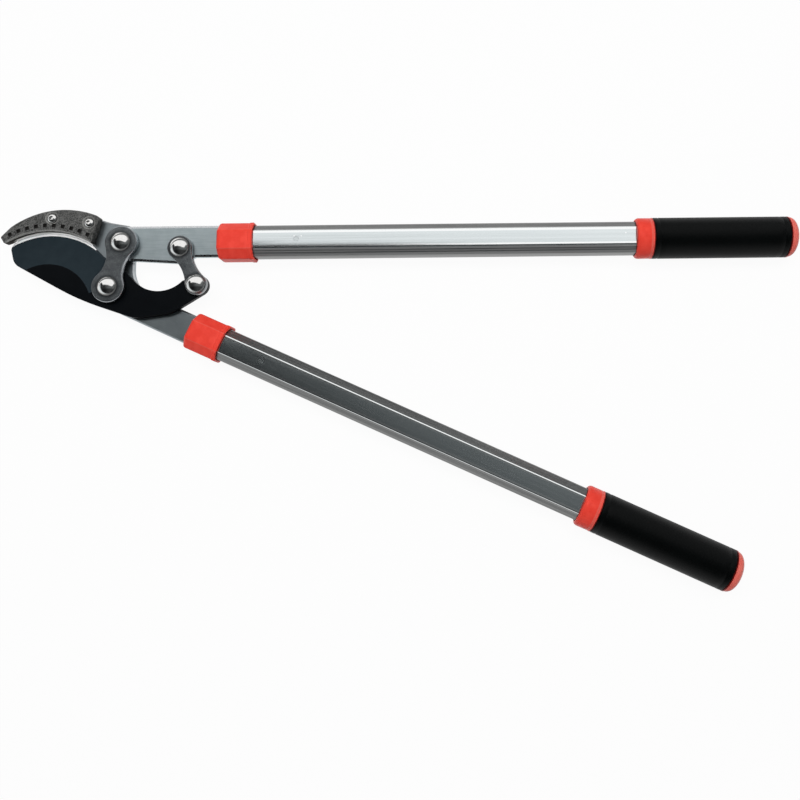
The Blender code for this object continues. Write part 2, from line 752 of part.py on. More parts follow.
def build_anvil_screw(name, centre):
    """Round-headed screw with a six-sided socket, through the anvil and the jaw plate."""
    seat = ANVIL_TOP - SCREW_HEAD_SINK
    top = seat + SCREW_HEAD_HEIGHT
    end = JAW_BOTTOM - SEAT_GAP - SCREW_NUT - SCREW_PROTRUSION
    profile = [
        (0, top),
        (SCREW_HEAD_RADIUS * 0.62, top),
        (SCREW_HEAD_RADIUS * 0.90, top - SCREW_HEAD_HEIGHT * 0.20),
        (SCREW_HEAD_RADIUS, top - SCREW_HEAD_HEIGHT * 0.50),
        (SCREW_HEAD_RADIUS, seat),
        (SCREW_RADIUS, seat),
        (SCREW_RADIUS, end + SCREW_RADIUS * 0.15),
        (SCREW_RADIUS * 0.85, end),
        (0, end),
    ]
    screw = turned(name, profile)
    screw.data.transform(Matrix.Translation((*centre, 0)))
    hexagon = [
        centre + SCREW_SOCKET_RADIUS * Vector((math.cos(a), math.sin(a)))
        for a in (math.tau * i / 6 for i in range(6))
    ]
    socket = solid_plate(
        "socket_cutter", [hexagon], top - SCREW_SOCKET_DEPTH, top + SCREW_SOCKET_DEPTH
    )
    combine(screw, socket, "DIFFERENCE")
    applied(screw)
    smooth(screw)
    paint(screw, POLISHED_STEEL)
    return screw


def build_anvil_nut(name, centre):
    """Plain six-sided nut behind the jaw plate."""
    corner = SCREW_NUT_ACROSS_FLATS / math.sqrt(3)
    hexagon = [
        centre + corner * Vector((math.cos(a), math.sin(a)))
        for a in (math.tau * i / 6 for i in range(6))
    ]
    top = JAW_BOTTOM - SEAT_GAP
    nut = solid_plate(
        name,
        [hexagon, circle(centre, SCREW_RADIUS + RUNNING_GAP)],
        top - SCREW_NUT,
        top,
        NUT_ROUNDING,
    )
    paint(nut, PLAIN_STEEL)
    return nut


# Bolts


def build_bolt(name, centre, end):
    """Bolt with a polished domed head on a link."""
    seat = LINK_TOP + SEAT_GAP
    rim = seat + HEAD_RIM
    dome = HEAD_HEIGHT - HEAD_RIM
    ball = (HEAD_RADIUS**2 + dome**2) / (2 * dome)
    widest = math.asin(HEAD_RADIUS / ball)
    count = 6
    profile = [
        (ball * math.sin(widest * i / count), rim + dome - ball * (1 - math.cos(widest * i / count)))
        for i in range(count + 1)
    ]
    profile += [
        (HEAD_RADIUS, seat),
        (SHANK_RADIUS, seat),
        (SHANK_RADIUS, end + BOLT_END_CHAMFER),
        (SHANK_RADIUS - BOLT_END_CHAMFER, end),
        (0, end),
    ]
    bolt = turned(name, profile)
    bolt.data.transform(Matrix.Translation((*centre, 0)))
    smooth(bolt)
    paint(bolt, POLISHED_STEEL)
    return bolt


def build_nut(name, centre, face):
    """Flanged lock nut with a round collar, against the face above it."""
    corner = NUT_ACROSS_FLATS / math.sqrt(3)
    bore = SHANK_RADIUS + RUNNING_GAP
    top = face - SEAT_GAP
    flange_bottom = top - NUT_FLANGE
    hex_bottom = flange_bottom - NUT_HEX
    bottom = hex_bottom - NUT_COLLAR
    hexagon = [
        centre + corner * Vector((math.cos(a), math.sin(a)))
        for a in (math.tau * i / 6 for i in range(6))
    ]
    nut = solid_plate(name, [hexagon], hex_bottom, flange_bottom + CUTTER_OVERLAP, NUT_ROUNDING)
    flange = turned(
        "nut_flange",
        [
            (0, top),
            (NUT_FLANGE_RADIUS, top),
            (NUT_FLANGE_RADIUS, top - NUT_FLANGE * 0.4),
            (NUT_FLANGE_RADIUS * 0.86, flange_bottom),
            (0, flange_bottom),
        ],
    )
    collar = turned(
        "nut_collar",
        [
            (0, hex_bottom + CUTTER_OVERLAP),
            (NUT_COLLAR_RADIUS, hex_bottom + CUTTER_OVERLAP),
            (NUT_COLLAR_RADIUS, bottom + NUT_COLLAR_CHAMFER),
            (NUT_COLLAR_RADIUS - NUT_COLLAR_CHAMFER, bottom),
            (0, bottom),
        ],
    )
    for piece in (flange, collar):
        piece.data.transform(Matrix.Translation((*centre, 0)))
        combine(nut, piece, "UNION")
    hole = rod("nut_bore", centre, bore, bottom - CUTTER_OVERLAP, top + CUTTER_OVERLAP)
    combine(nut, hole, "DIFFERENCE")
    applied(nut)
    smooth(nut)
    paint(nut, PLAIN_STEEL)
    return nut


def build_bush(name, centre):
    """Steel bush that the plate in the middle turns on, between the jaw plate and the link."""
    bush = solid_plate(
        name,
        [circle(centre, BUSH_RADIUS), circle(centre, SHANK_RADIUS + RUNNING_GAP)],
        JAW_TOP + SEAT_GAP,
        LINK_BOTTOM - SEAT_GAP,
    )
    smooth(bush)
    paint(bush, PLAIN_STEEL)
    return bush


# Handles, drawn along X from the start of the ferrule


def section_solid(name, outlines, start, end, rounding=0.0):
    """A length of an eight-sided or round section along the handle."""
    piece = solid_plate(name, outlines, start, end, rounding)
    return along_handle(piece)


def build_ferrule(name, plate_middle, top, bottom):
    """Moulded socket over the tube's end, with a slot for the tang in its end wall."""
    outer = rounded([(p, FERRULE_CORNER_RADIUS) for p in octagon(FERRULE_WALL)])
    ferrule = section_solid(name, [outer], 0, FERRULE_LENGTH, FERRULE_END_ROUNDING)
    inner = rounded([(p, TUBE_CORNER_RADIUS) for p in octagon(SEAT_GAP)])
    socket = section_solid(
        "socket_cutter", [inner], FERRULE_END_WALL, FERRULE_LENGTH + FERRULE_WALL
    )
    combine(ferrule, socket, "DIFFERENCE")
    half = PLATE / 2 + GAP
    low = plate_middle - AXIS_HEIGHT - half
    slot_outline = [
        Vector(p)
        for p in (
            (bottom - GAP, low),
            (top + GAP, low),
            (top + GAP, low + 2 * half),
            (bottom - GAP, low + 2 * half),
        )
    ]
    slot = section_solid("slot_cutter", [slot_outline], -FERRULE_WALL, 2 * FERRULE_END_WALL)
    combine(ferrule, slot, "DIFFERENCE")
    applied(ferrule)
    smooth(ferrule)
    paint(ferrule, RED_PLASTIC)
    return ferrule


def build_tube(name):
    """Aluminium tube from the ferrule to the end of the grip."""
    outer = rounded([(p, TUBE_CORNER_RADIUS) for p in octagon(0)])
    inner = rounded([(p, TUBE_CORNER_RADIUS / 2) for p in octagon(-TUBE_WALL)])
    start = FERRULE_END_WALL + GAP
    end = COLLAR_START + COLLAR_LENGTH + GRIP_LENGTH
    tube = section_solid(name, [outer, inner], start, end)
    hole = rod(
        "pin_hole",
        Vector((PIN_FROM_FERRULE_START, 0)),
        PIN_RADIUS + RUNNING_GAP,
        AXIS_HEIGHT - GRIP_DIAMETER,
        AXIS_HEIGHT + GRIP_DIAMETER,
    )
    combine(tube, hole, "DIFFERENCE")
    applied(tube)
    smooth(tube)
    paint(tube, ALUMINIUM)
    return tube


def build_pin(name):
    """Cross pin through the tube and the tang's tongue, flush with the tube's flats."""
    pin = solid_plate(
        name,
        [circle(Vector((PIN_FROM_FERRULE_START, 0)), PIN_RADIUS)],
        AXIS_HEIGHT - TUBE_HALF_THICKNESS,
        AXIS_HEIGHT + TUBE_HALF_THICKNESS,
        PIN_ROUNDING,
    )
    smooth(pin)
    paint(pin, PLAIN_STEEL)
    return pin


def grip_sleeve(name, profile):
    """A round piece on the handle with an eight-sided bore for the tube."""
    sleeve = along_handle(turned(name, profile))
    bore_outline = rounded([(p, TUBE_CORNER_RADIUS) for p in octagon(SEAT_GAP)])
    ends = [height for _, height in profile]
    bore = section_solid(
        "bore_cutter", [bore_outline], min(ends) - CUTTER_REACH, max(ends) + CUTTER_REACH
    )
    combine(sleeve, bore, "DIFFERENCE")
    applied(sleeve)
    smooth(sleeve)
    return sleeve


def build_collar(name):
    """Red collar at the front of the grip."""
    radius = GRIP_DIAMETER / 2
    start = COLLAR_START
    end = COLLAR_START + COLLAR_LENGTH - GAP
    profile = [
        (0, end),
        (radius, end),
        (radius, start + COLLAR_ROUNDING),
        (radius - COLLAR_ROUNDING * 0.3, start + COLLAR_ROUNDING * 0.3),
        (radius - COLLAR_ROUNDING, start),
        (0, start),
    ]
    collar = grip_sleeve(name, profile)
    paint(collar, RED_PLASTIC)
    return collar


def build_grip(name):
    """Black sleeve that the hand holds."""
    radius = GRIP_DIAMETER / 2
    start = COLLAR_START + COLLAR_LENGTH
    end = start + GRIP_LENGTH - GAP
    profile = [
        (0, end),
        (radius - GRIP_ROUNDING, end),
        (radius, end - GRIP_ROUNDING),
        (radius, start + GRIP_ROUNDING),
        (radius - GRIP_ROUNDING, start),
        (0, start),
    ]
    grip = grip_sleeve(name, profile)
    paint(grip, BLACK_GRIP)
    return grip


def build_cap(name):
    """Red domed cap that closes the grip's end."""
    radius = GRIP_DIAMETER / 2
    start = COLLAR_START + COLLAR_LENGTH + GRIP_LENGTH + GAP
    dome = CAP_LENGTH - CAP_RIM
    count = 8
    profile = [
        (
            radius * math.sin(math.pi / 2 * i / count),
            start + CAP_RIM + dome * math.cos(math.pi / 2 * i / count),
        )
        for i in range(count + 1)
    ]
    profile += [(radius, start + CAP_GROOVE), (radius - CAP_GROOVE, start), (0, start)]
    cap = along_handle(turned(name, profile))
    smooth(cap)
    paint(cap, RED_PLASTIC)
    return cap


def build_handle(side, frame, start, plate_middle, top, bottom):
    """All pieces of one handle beyond its tang, fixed to the handle's frame."""
    pieces = [
        build_ferrule(side + "_ferrule", plate_middle, top, bottom),
        build_tube(side + "_tube"),
        build_pin(side + "_tang_pin"),
        build_collar(side + "_collar"),
        build_grip(side + "_grip"),
        build_cap(side + "_cap"),
    ]
    for piece in pieces:
        piece.parent = frame
        piece.location = (start, 0, 0)


# Assembly

main_axis = frame_empty("main_pivot_axis", *MAIN_PIVOT)
blade_axis = frame_empty("blade_pivot_axis", *BLADE_PIVOT)
link_axis = frame_empty("tang_link_axis", *TANG_LINK_PIVOT)
lower_frame = frame_empty("lower_handle_frame", *lower_point(0, 0), -HANDLE_ANGLE)

jaw_middle = (JAW_TOP + JAW_BOTTOM) / 2
build_handle("lower", lower_frame, LOWER_FERRULE_START, jaw_middle, JAW_TANG_TOP, JAW_TANG_BOTTOM)
build_handle("upper", main_axis, UPPER_FERRULE_START, AXIS_HEIGHT, TANG_TOP, TANG_BOTTOM)

fix_to(build_jaw_plate(), lower_frame)
fix_to(build_anvil(), lower_frame)
screw_front, screw_back = screw_places()
fix_to(build_anvil_screw("anvil_screw_front", screw_front), lower_frame)
fix_to(build_anvil_screw("anvil_screw_back", screw_back), lower_frame)
fix_to(build_anvil_nut("anvil_nut_front", screw_front), lower_frame)
fix_to(build_anvil_nut("anvil_nut_back", screw_back), lower_frame)
fix_to(build_front_link(), lower_frame)
fix_to(build_bolt("main_pivot_bolt", MAIN_PIVOT, 0), lower_frame)
fix_to(build_bush("main_pivot_bush", MAIN_PIVOT), lower_frame)
fix_to(build_nut("main_pivot_nut", MAIN_PIVOT, JAW_BOTTOM), lower_frame)
fix_to(build_bolt("blade_pivot_bolt", BLADE_PIVOT, 0), lower_frame)
fix_to(build_bush("blade_pivot_bush", BLADE_PIVOT), lower_frame)
fix_to(build_nut("blade_pivot_nut", BLADE_PIVOT, JAW_BOTTOM), lower_frame)

fix_to(build_upper_tang(), main_axis)
fix_to(build_blade(), blade_axis)

nut_height = NUT_FLANGE + NUT_HEX + NUT_COLLAR
short_end = MIDDLE_BOTTOM - SEAT_GAP - nut_height - SHORT_BOLT_PROTRUSION
fix_to(build_rear_link(), link_axis)
fix_to(build_bolt("tang_link_bolt", TANG_LINK_PIVOT, short_end), link_axis)
fix_to(build_nut("tang_link_nut", TANG_LINK_PIVOT, MIDDLE_BOTTOM), link_axis)
fix_to(build_bolt("blade_link_bolt", BLADE_LINK_PIVOT, short_end), link_axis)
fix_to(build_nut("blade_link_nut", BLADE_LINK_PIVOT, MIDDLE_BOTTOM), link_axis)
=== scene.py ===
"""Anvil lopper laid flat and closed, seen from above: long handles, a compound lever head, a curved blade
that lands on a fixed anvil. Metres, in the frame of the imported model: X along the upper handle, Z up."""

import math

import bmesh
import bpy
from mathutils import Matrix, Vector


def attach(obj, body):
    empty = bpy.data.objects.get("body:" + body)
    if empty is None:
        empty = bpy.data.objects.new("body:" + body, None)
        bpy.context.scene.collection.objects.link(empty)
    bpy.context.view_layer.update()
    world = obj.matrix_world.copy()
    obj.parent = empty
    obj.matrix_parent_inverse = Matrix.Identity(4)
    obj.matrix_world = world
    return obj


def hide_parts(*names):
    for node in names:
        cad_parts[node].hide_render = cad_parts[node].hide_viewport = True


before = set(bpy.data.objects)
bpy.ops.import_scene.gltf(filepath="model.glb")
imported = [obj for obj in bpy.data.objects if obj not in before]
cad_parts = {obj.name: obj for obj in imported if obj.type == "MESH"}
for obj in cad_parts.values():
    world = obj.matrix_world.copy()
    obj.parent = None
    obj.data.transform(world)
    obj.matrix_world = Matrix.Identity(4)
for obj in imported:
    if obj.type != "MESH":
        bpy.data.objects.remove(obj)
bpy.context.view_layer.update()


# Jaw plate
# A 5 mm plate of tool steel, cut to outline, ground flat and chamfered all round. It comes out of the
# lower handle, carries both fixed pivots and hooks round behind the anvil, which is screwed to it.

MAIN_PIVOT = Vector((0.0, 0.0))
BLADE_PIVOT = Vector((-0.0101, -0.0419))
JAW_CENTRE = Vector((-0.0690, -0.0613))  # of the edge's arc and of the anvil's working face
FACE_RADIUS = 0.0730
BACK_RADIUS = 0.0813
AXIS_HEIGHT = 0.0190  # of both handles' centre lines above the table
LOWER_ANGLE = math.radians(-24.52)
LOWER_START = BLADE_PIVOT - 0.0050 * Vector((-math.sin(LOWER_ANGLE), math.cos(LOWER_ANGLE)))
LOWER_FERRULE = 0.0872
LOWER_TANG_TOP = 0.0136
LOWER_TANG_BOTTOM = -0.0140
SHANK = 0.0041
SCREW_HOLE = 0.0026
JAW_BOTTOM = 0.0112
JAW_TOP = 0.0162
MM = 1000  # to a metre: the finishes measure in millimetres


def polar(centre, reach, degrees):
    """A point at a distance and a direction from another."""
    turn = math.radians(degrees)
    return centre + reach * Vector((math.cos(turn), math.sin(turn)))


def bow(centre, reach, first, last, step=2.0):
    """Points along an arc, from one direction to the other, in degrees."""
    count = max(3, math.ceil(abs(last - first) / step))
    return [polar(centre, reach, first + (last - first) * i / count) for i in range(count + 1)]


def filleted(corners, step=5.0):
    """The points of an outline whose corners are given with the radius of their fillets."""
    points = []
    for i, (corner, fillet) in enumerate(corners):
        if fillet == 0:
            points.append(corner)
            continue
        back = (corners[i - 1][0] - corner).normalized()
        ahead = (corners[(i + 1) % len(corners)][0] - corner).normalized()
        half = back.angle(ahead) / 2
        centre = corner + (back + ahead).normalized() * fillet / math.sin(half)
        first = corner + back * fillet / math.tan(half) - centre
        last = corner + ahead * fillet / math.tan(half) - centre
        start = math.degrees(math.atan2(first.y, first.x))
        turn = math.remainder(math.degrees(math.atan2(last.y, last.x)) - start, 360)
        points += bow(centre, fillet, start, start + turn, step)
    return points


def plain(points):
    """Corners without fillets."""
    return [(point, 0) for point in points]


def ring(centre, radius):
    """The points of a round hole."""
    return bow(centre, radius, 0, 360 - 7.5, 7.5)


def placed(name, mesh):
    """A piece of the lopper, with its place in its mesh."""
    piece = bpy.data.objects.new(name, mesh)
    bpy.context.scene.collection.objects.link(piece)
    return piece


def built(name, work):
    """A piece from the faces that were laid out for it."""
    mesh = bpy.data.meshes.new(name)
    work.to_mesh(mesh)
    work.free()
    return placed(name, mesh)


def soften(piece, degrees):
    """Shade the round faces of a piece smooth and keep its edges."""
    piece.data.shade_smooth()
    piece.data.set_sharp_from_angle(angle=math.radians(degrees))


def cut_plate(name, outline, holes, bottom, top, chamfer, fall):
    """A plate cut from sheet, with a chamfer of that width and fall on every edge, in its own slot."""
    work = bmesh.new()
    for loop in [outline] + holes:
        corners = [work.verts.new((point.x, point.y, bottom + fall)) for point in loop]
        for i, corner in enumerate(corners):
            work.edges.new((corners[i - 1], corner))
    bmesh.ops.triangle_fill(work, edges=work.edges[:], use_beauty=True, normal=(0, 0, 1))
    under = work.faces[:]
    raised = bmesh.ops.extrude_face_region(work, geom=under)["geom"]
    rise = Vector((0, 0, top - bottom - 2 * fall))
    bmesh.ops.translate(work, vec=rise, verts=[e for e in raised if isinstance(e, bmesh.types.BMVert)])
    upper = [e for e in raised if isinstance(e, bmesh.types.BMFace)]
    bmesh.ops.recalc_face_normals(work, faces=work.faces[:])
    for side in (upper, [face for face in work.faces if face.normal.z < -0.9]):
        rim = bmesh.ops.inset_region(
            work, faces=side, thickness=chamfer, depth=fall, use_boundary=True, use_even_offset=True
        )
        for face in rim["faces"]:
            face.material_index = 1
    piece = built(name, work)
    soften(piece, 20)
    return piece


class Reading:
    """A number read off a surface. Sums and products of readings are worked out where it is shaded."""

    def __init__(self, tree, socket):
        self.tree = tree
        self.socket = socket

    def work_out(self, operation, first, second):
        step = self.tree.nodes.new("ShaderNodeMath")
        step.operation = operation
        for place, value in zip(step.inputs, (first, second)):
            if isinstance(value, Reading):
                self.tree.links.new(value.socket, place)
            else:
                place.default_value = value
        return Reading(self.tree, step.outputs[0])

    def __add__(self, other):
        return self.work_out("ADD", self, other)

    def __radd__(self, other):
        return self.work_out("ADD", other, self)

    def __sub__(self, other):
        return self.work_out("SUBTRACT", self, other)

    def __rsub__(self, other):
        return self.work_out("SUBTRACT", other, self)

    def __mul__(self, other):
        return self.work_out("MULTIPLY", self, other)

    def __rmul__(self, other):
        return self.work_out("MULTIPLY", other, self)

    def __abs__(self):
        return self.work_out("ABSOLUTE", self, 0.0)


class Bench:
    """A node tree that is being laid out."""

    def __init__(self, tree):
        self.tree = tree

    def node(self, kind, settings, sockets, out=0):
        """Place a node: its settings first, then the values or links of its sockets."""
        made = self.tree.nodes.new(kind)
        for key, value in settings.items():
            setattr(made, key, value)
        for key, value in sockets.items():
            if isinstance(value, Reading):
                self.tree.links.new(value.socket, made.inputs[key])
            else:
                made.inputs[key].default_value = value
        return Reading(self.tree, made.outputs[out]) if made.outputs else None

    def along(self, place, axis):
        """How far a place lies along one axis."""
        return self.node("ShaderNodeSeparateXYZ", {}, {0: place}, axis)

    def between(self, reading, low, high, first=0.0, last=1.0, way="SMOOTHSTEP"):
        """A step from one value to another as a reading goes from low to high."""
        return self.node(
            "ShaderNodeMapRange",
            {"interpolation_type": way},
            {0: reading, 1: low, 2: high, 3: first, 4: last},
        )


class Finish(Bench):
    """The surface of one kind of piece. Patterns on it are measured in millimetres."""

    def __init__(self, name, metallic=0.0, specular=0.5):
        self.material = bpy.data.materials.new(name)
        self.material.use_nodes = True
        super().__init__(self.material.node_tree)
        self.shader = self.tree.nodes["Principled BSDF"]
        self.shader.inputs["Metallic"].default_value = metallic
        self.shader.inputs["Specular IOR Level"].default_value = specular

    def place(self, turn=0.0, centre=(0, 0, 0)):
        """Where a point of the surface lies, in millimetres from a centre, turned about Z."""
        spot = self.node("ShaderNodeTexCoord", {}, {}, "Object")
        away = self.node("ShaderNodeVectorMath", {"operation": "SUBTRACT"}, {0: spot, 1: centre})
        return self.node(
            "ShaderNodeMapping", {}, {"Vector": away, "Rotation": (0, 0, -turn), "Scale": (MM,) * 3}
        )

    def reach(self, centre):
        """How far a point of the surface lies from an upright axis, in millimetres."""
        flat = self.stretched(self.place(centre=(*centre, 0)), (1, 1, 0))
        return self.node("ShaderNodeVectorMath", {"operation": "LENGTH"}, {0: flat}, "Value")

    def stretched(self, place, each_way):
        """A place with each direction scaled by itself, for patterns that run one way."""
        return self.node("ShaderNodeVectorMath", {"operation": "MULTIPLY"}, {0: place, 1: each_way})

    def noise(self, place, scale, detail=2.0, roughness=0.5):
        """Soft mottling with that many features a millimetre."""
        return self.node(
            "ShaderNodeTexNoise",
            {},
            {"Vector": place, "Scale": scale, "Detail": detail, "Roughness": roughness},
            "Fac",
        )

    def streaks(self, place, each_way, detail=2.0, roughness=0.5):
        """Mottling drawn out one way, with that many features a millimetre in each direction."""
        return self.noise(self.stretched(place, each_way), 1.0, detail, roughness)

    def spots(self, place, scale):
        """Distance from scattered points, that many a millimetre."""
        return self.node("ShaderNodeTexVoronoi", {}, {"Vector": place, "Scale": scale}, "Distance")

    def band(self, reading, first, last, soft):
        """1 where a reading lies between two levels, fading over that much at each side of both."""
        return self.between(reading, first - soft, first + soft) * self.between(
            reading, last + soft, last - soft
        )

    def blend(self, amount, first, second):
        """One colour going over into another."""
        pair = {6: first, 7: second}
        pair = {key: value if isinstance(value, Reading) else (*value, 1) for key, value in pair.items()}
        return self.node("ShaderNodeMix", {"data_type": "RGBA"}, {0: amount, **pair}, 2)

    def done(self, colour, roughness, height=None, millimetres=0.0, strength=1.0):
        """The finished material. A height raises the surface by that many millimetres at most."""
        channels = {"Base Color": colour, "Roughness": roughness}
        if height:
            channels["Normal"] = self.node(
                "ShaderNodeBump",
                {},
                {"Height": height, "Distance": millimetres / MM, "Strength": strength},
            )
        for channel, value in channels.items():
            self.tree.links.new(value.socket, self.shader.inputs[channel])
        return self.material


def ground_steel(name, turn, dark, light):
    """Plate steel ground along its length: fine lines, cloudy gloss and a few scratches."""
    finish = Finish(name, metallic=1.0)
    place = finish.place(turn)
    lines = finish.streaks(place, (0.05, 5.0, 5.0), 3.0, 0.6)
    cloud = finish.noise(place, 0.09, 3.0)
    scratch = finish.streaks(place, (0.03, 1.4, 1.4), 4.0, 0.7)
    scratched = finish.between(scratch, 0.66, 0.72)
    tone = finish.between(cloud * 0.35 + lines * 0.65, 0.30, 0.70)
    return finish.done(
        finish.blend(tone, dark, light),
        0.24 + cloud * 0.10 + lines * 0.10 - scratched * 0.06,
        lines * 0.6 + scratched * 0.4,
        0.02,
        0.6,
    )


def bare_edge(name, colour, roughness):
    """The chamfer of a plate, filed bright, with the file's marks across it."""
    finish = Finish(name, metallic=1.0)
    place = finish.place()
    marks = finish.noise(place, 2.6, 3.0, 0.65)
    wear = finish.noise(place, 0.35, 2.0)
    dull = [0.78 * c for c in colour]
    return finish.done(finish.blend(marks, dull, colour), roughness + wear * 0.16, marks, 0.03, 0.5)


def fit(piece, body, nodes, finishes):
    """Finish a piece and let it ride on its body, in place of the solids that it stands for."""
    for finish in finishes:
        piece.data.materials.append(finish)
    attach(piece, body)
    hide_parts(*nodes)


def anvil_back(inset):
    """The long arc of the anvil's back, moved inwards."""
    crest = polar(JAW_CENTRE, FACE_RADIUS + 0.0200, 88.2)
    return bow(polar(crest, -BACK_RADIUS, 97.5), BACK_RADIUS - inset, 68, 127)


def beside_lower(along, across):
    """A point beside the lower handle's centre line."""
    direction = Vector((math.cos(LOWER_ANGLE), math.sin(LOWER_ANGLE)))
    return LOWER_START + direction * along + Vector((-direction.y, direction.x)) * across


def tongue(start, top, bottom, length=0.0850, half=0.0085, shoulder=0.0040):
    """Corners of a tang's shoulders and of its tongue inside the tube."""
    return [
        ((start + shoulder, bottom), 0),
        ((start + shoulder, -half), 0),
        ((start + length, -half), 0.003),
        ((start + length, half), 0.003),
        ((start + shoulder, half), 0),
        ((start + shoulder, top), 0),
    ]


tongue_corners = tongue(LOWER_FERRULE, LOWER_TANG_TOP, LOWER_TANG_BOTTOM)
jaw_corners = [(beside_lower(*spot), fillet) for spot, fillet in tongue_corners]
jaw_corners += [
    (polar(BLADE_PIVOT, 0.0191, 2.4), 0.028),
    (polar(MAIN_PIVOT, 0.0149, 53.7), 0.004),
    (polar(MAIN_PIVOT, 0.0185, 79.1), 0.005),
    (polar(MAIN_PIVOT, 0.0262, 124.9), 0.020),
]
jaw_corners += plain(anvil_back(0.0015))
jaw_corners += [(polar(JAW_CENTRE, FACE_RADIUS + 0.0054, 118.6), 0.0015)]
jaw_corners += plain(bow(JAW_CENTRE, FACE_RADIUS + 0.0015, 117, 62))
jaw_corners += [
    (polar(JAW_CENTRE, FACE_RADIUS - 0.0035, 54.0), 0.006),
    (polar(BLADE_PIVOT, 0.0213, 127.4), 0.030),
    (polar(BLADE_PIVOT, 0.0233, -153.5), 0.012),
]
SCREW_PLACES = (
    polar(JAW_CENTRE, FACE_RADIUS + 0.0124, 88.3),
    polar(JAW_CENTRE, FACE_RADIUS + 0.0159, 65.2),
)
jaw_holes = [ring(place, SHANK) for place in (MAIN_PIVOT, BLADE_PIVOT)]
jaw_holes += [ring(place, SCREW_HOLE) for place in SCREW_PLACES]
jaw_plate = cut_plate(
    "jaw_plate_steel", filleted(jaw_corners), jaw_holes, JAW_BOTTOM, JAW_TOP, chamfer=0.0013, fall=0.0008
)
fit(
    jaw_plate,
    "lower_handle",
    ["jaw_plate"],
    [
        # The jaw plate's steel and chamfer get darker tones than the tang's, though both are the same
        # steel: painted shade.
        ground_steel("jaw_plate_ground", LOWER_ANGLE, (0.27, 0.31, 0.33), (0.38, 0.42, 0.44)),
        bare_edge("jaw_plate_chamfer", (0.62, 0.65, 0.67), 0.22),
    ],
)


# Upper tang
# The same 5 mm plate steel. It turns on the main pivot's bush, carries the upper end of the rear link
# and ends in a tongue that is pinned inside the upper tube.

UPPER_FERRULE = 0.0897
LINK_PIVOT = Vector((0.0546, -0.0058))
BUSH = 0.0063
MIDDLE_BOTTOM = 0.0165
MIDDLE_TOP = 0.0215
TANG_TOP = 0.0162
TANG_BOTTOM = -0.0138
TANG_END = 0.0162
BOSS = 0.0140
BOSS_FILLET = 0.0060


def touching(centre_a, radius_a, centre_b, radius_b, side):
    """Direction of the normal of a line that touches two circles; side is 1 to the left of a to b."""
    along = centre_b - centre_a
    lean = math.acos((radius_a - radius_b) / along.length)
    return math.degrees(math.atan2(along.y, along.x) + side * lean)


low = touching(MAIN_PIVOT, TANG_END, LINK_PIVOT, BOSS, -1)
drop = math.asin((TANG_BOTTOM - LINK_PIVOT.y - BOSS_FILLET) / (BOSS + BOSS_FILLET))
drop = math.degrees(drop)
hollow = polar(LINK_PIVOT, BOSS + BOSS_FILLET, drop)
tang_outline = bow(MAIN_PIVOT, TANG_END, 90, low + 360)
tang_outline += bow(LINK_PIVOT, BOSS, low, drop)
tang_outline += bow(hollow, BOSS_FILLET, drop + 180, 90)[1:]
tongue_corners = tongue(UPPER_FERRULE, TANG_TOP, TANG_BOTTOM)
tang_corners = [(Vector(spot), fillet) for spot, fillet in tongue_corners]
tang_outline += filleted(tang_corners)
tang_holes = [ring(MAIN_PIVOT, BUSH), ring(LINK_PIVOT, SHANK)]
upper_tang = cut_plate(
    "upper_tang_steel", tang_outline, tang_holes, MIDDLE_BOTTOM, MIDDLE_TOP, chamfer=0.0021, fall=0.0009
)
fit(
    upper_tang,
    "upper_handle",
    ["upper_tang"],
    [
        ground_steel("tang_ground", 0.0, (0.38, 0.45, 0.47), (0.56, 0.63, 0.65)),
        bare_edge("tang_chamfer", (0.80, 0.82, 0.84), 0.20),
    ],
)


# Anvil
# A cast steel block, left rough from the mould but for the lip above its working face, which is ground
# bright. The face below the lip is painted dark as shade, and its lower part painted near white as a
# highlight. A row of square pockets runs along the face, and two screws sit in counterbores.

ANVIL_BOTTOM = 0.0163
ANVIL_TOP = 0.0248
SCREW_HEAD = 0.0046
SCREW_SINK = 0.0016


def geometry_tree(name, sizes):
    """A tree for a modifier, with one geometry socket and a named input for each size."""
    tree = bpy.data.node_groups.new(name, "GeometryNodeTree")
    tree.interface.new_socket("Geometry", in_out="INPUT", socket_type="NodeSocketGeometry")
    tree.interface.new_socket("Geometry", in_out="OUTPUT", socket_type="NodeSocketGeometry")
    kinds = {float: "NodeSocketFloat", int: "NodeSocketInt", tuple: "NodeSocketVector"}
    for label, value in sizes.items():
        kind = kinds.get(type(value), "NodeSocketMaterial")
        tree.interface.new_socket(label, in_out="INPUT", socket_type=kind)
    start = tree.nodes.new("NodeGroupInput")
    given = {socket.name: Reading(tree, socket) for socket in start.outputs if socket.name}
    return Bench(tree), given


def close_tree(bench, last, finish, kept=None):
    """Give the finished shape its material, but for the faces that keep theirs, and lead it out."""
    whole = bench.node("GeometryNodeRealizeInstances", {}, {"Geometry": last})
    chosen = True
    if kept:
        inside = bench.node("GeometryNodeMaterialSelection", {}, {"Material": kept})
        chosen = bench.node("FunctionNodeBooleanMath", {"operation": "NOT"}, {0: inside})
    dressed = bench.node(
        "GeometryNodeSetMaterial", {}, {"Geometry": whole, "Selection": chosen, "Material": finish}
    )
    end = bench.tree.nodes.new("NodeGroupOutput")
    bench.tree.links.new(dressed.socket, end.inputs[0])
    return bench.tree


def as_it_stands(piece):
    """A piece's shape with its modifiers worked in, as a plain mesh."""
    bpy.context.view_layer.update()
    graph = bpy.context.evaluated_depsgraph_get()
    mesh = bpy.data.meshes.new_from_object(piece.evaluated_get(graph))
    piece.modifiers.clear()
    return mesh


def made_by(piece, tree, sizes):
    """Run a tree on a piece with these sizes and keep the result as its plain mesh."""
    step = piece.modifiers.new(tree.name, "NODES")
    step.node_group = tree
    for item in tree.interface.items_tree:
        if item.item_type == "SOCKET" and item.in_out == "INPUT" and item.name in sizes:
            step[item.identifier] = sizes[item.name]
    mesh = as_it_stands(piece)
    name = piece.name
    bpy.data.objects.remove(piece)
    return placed(name, mesh)


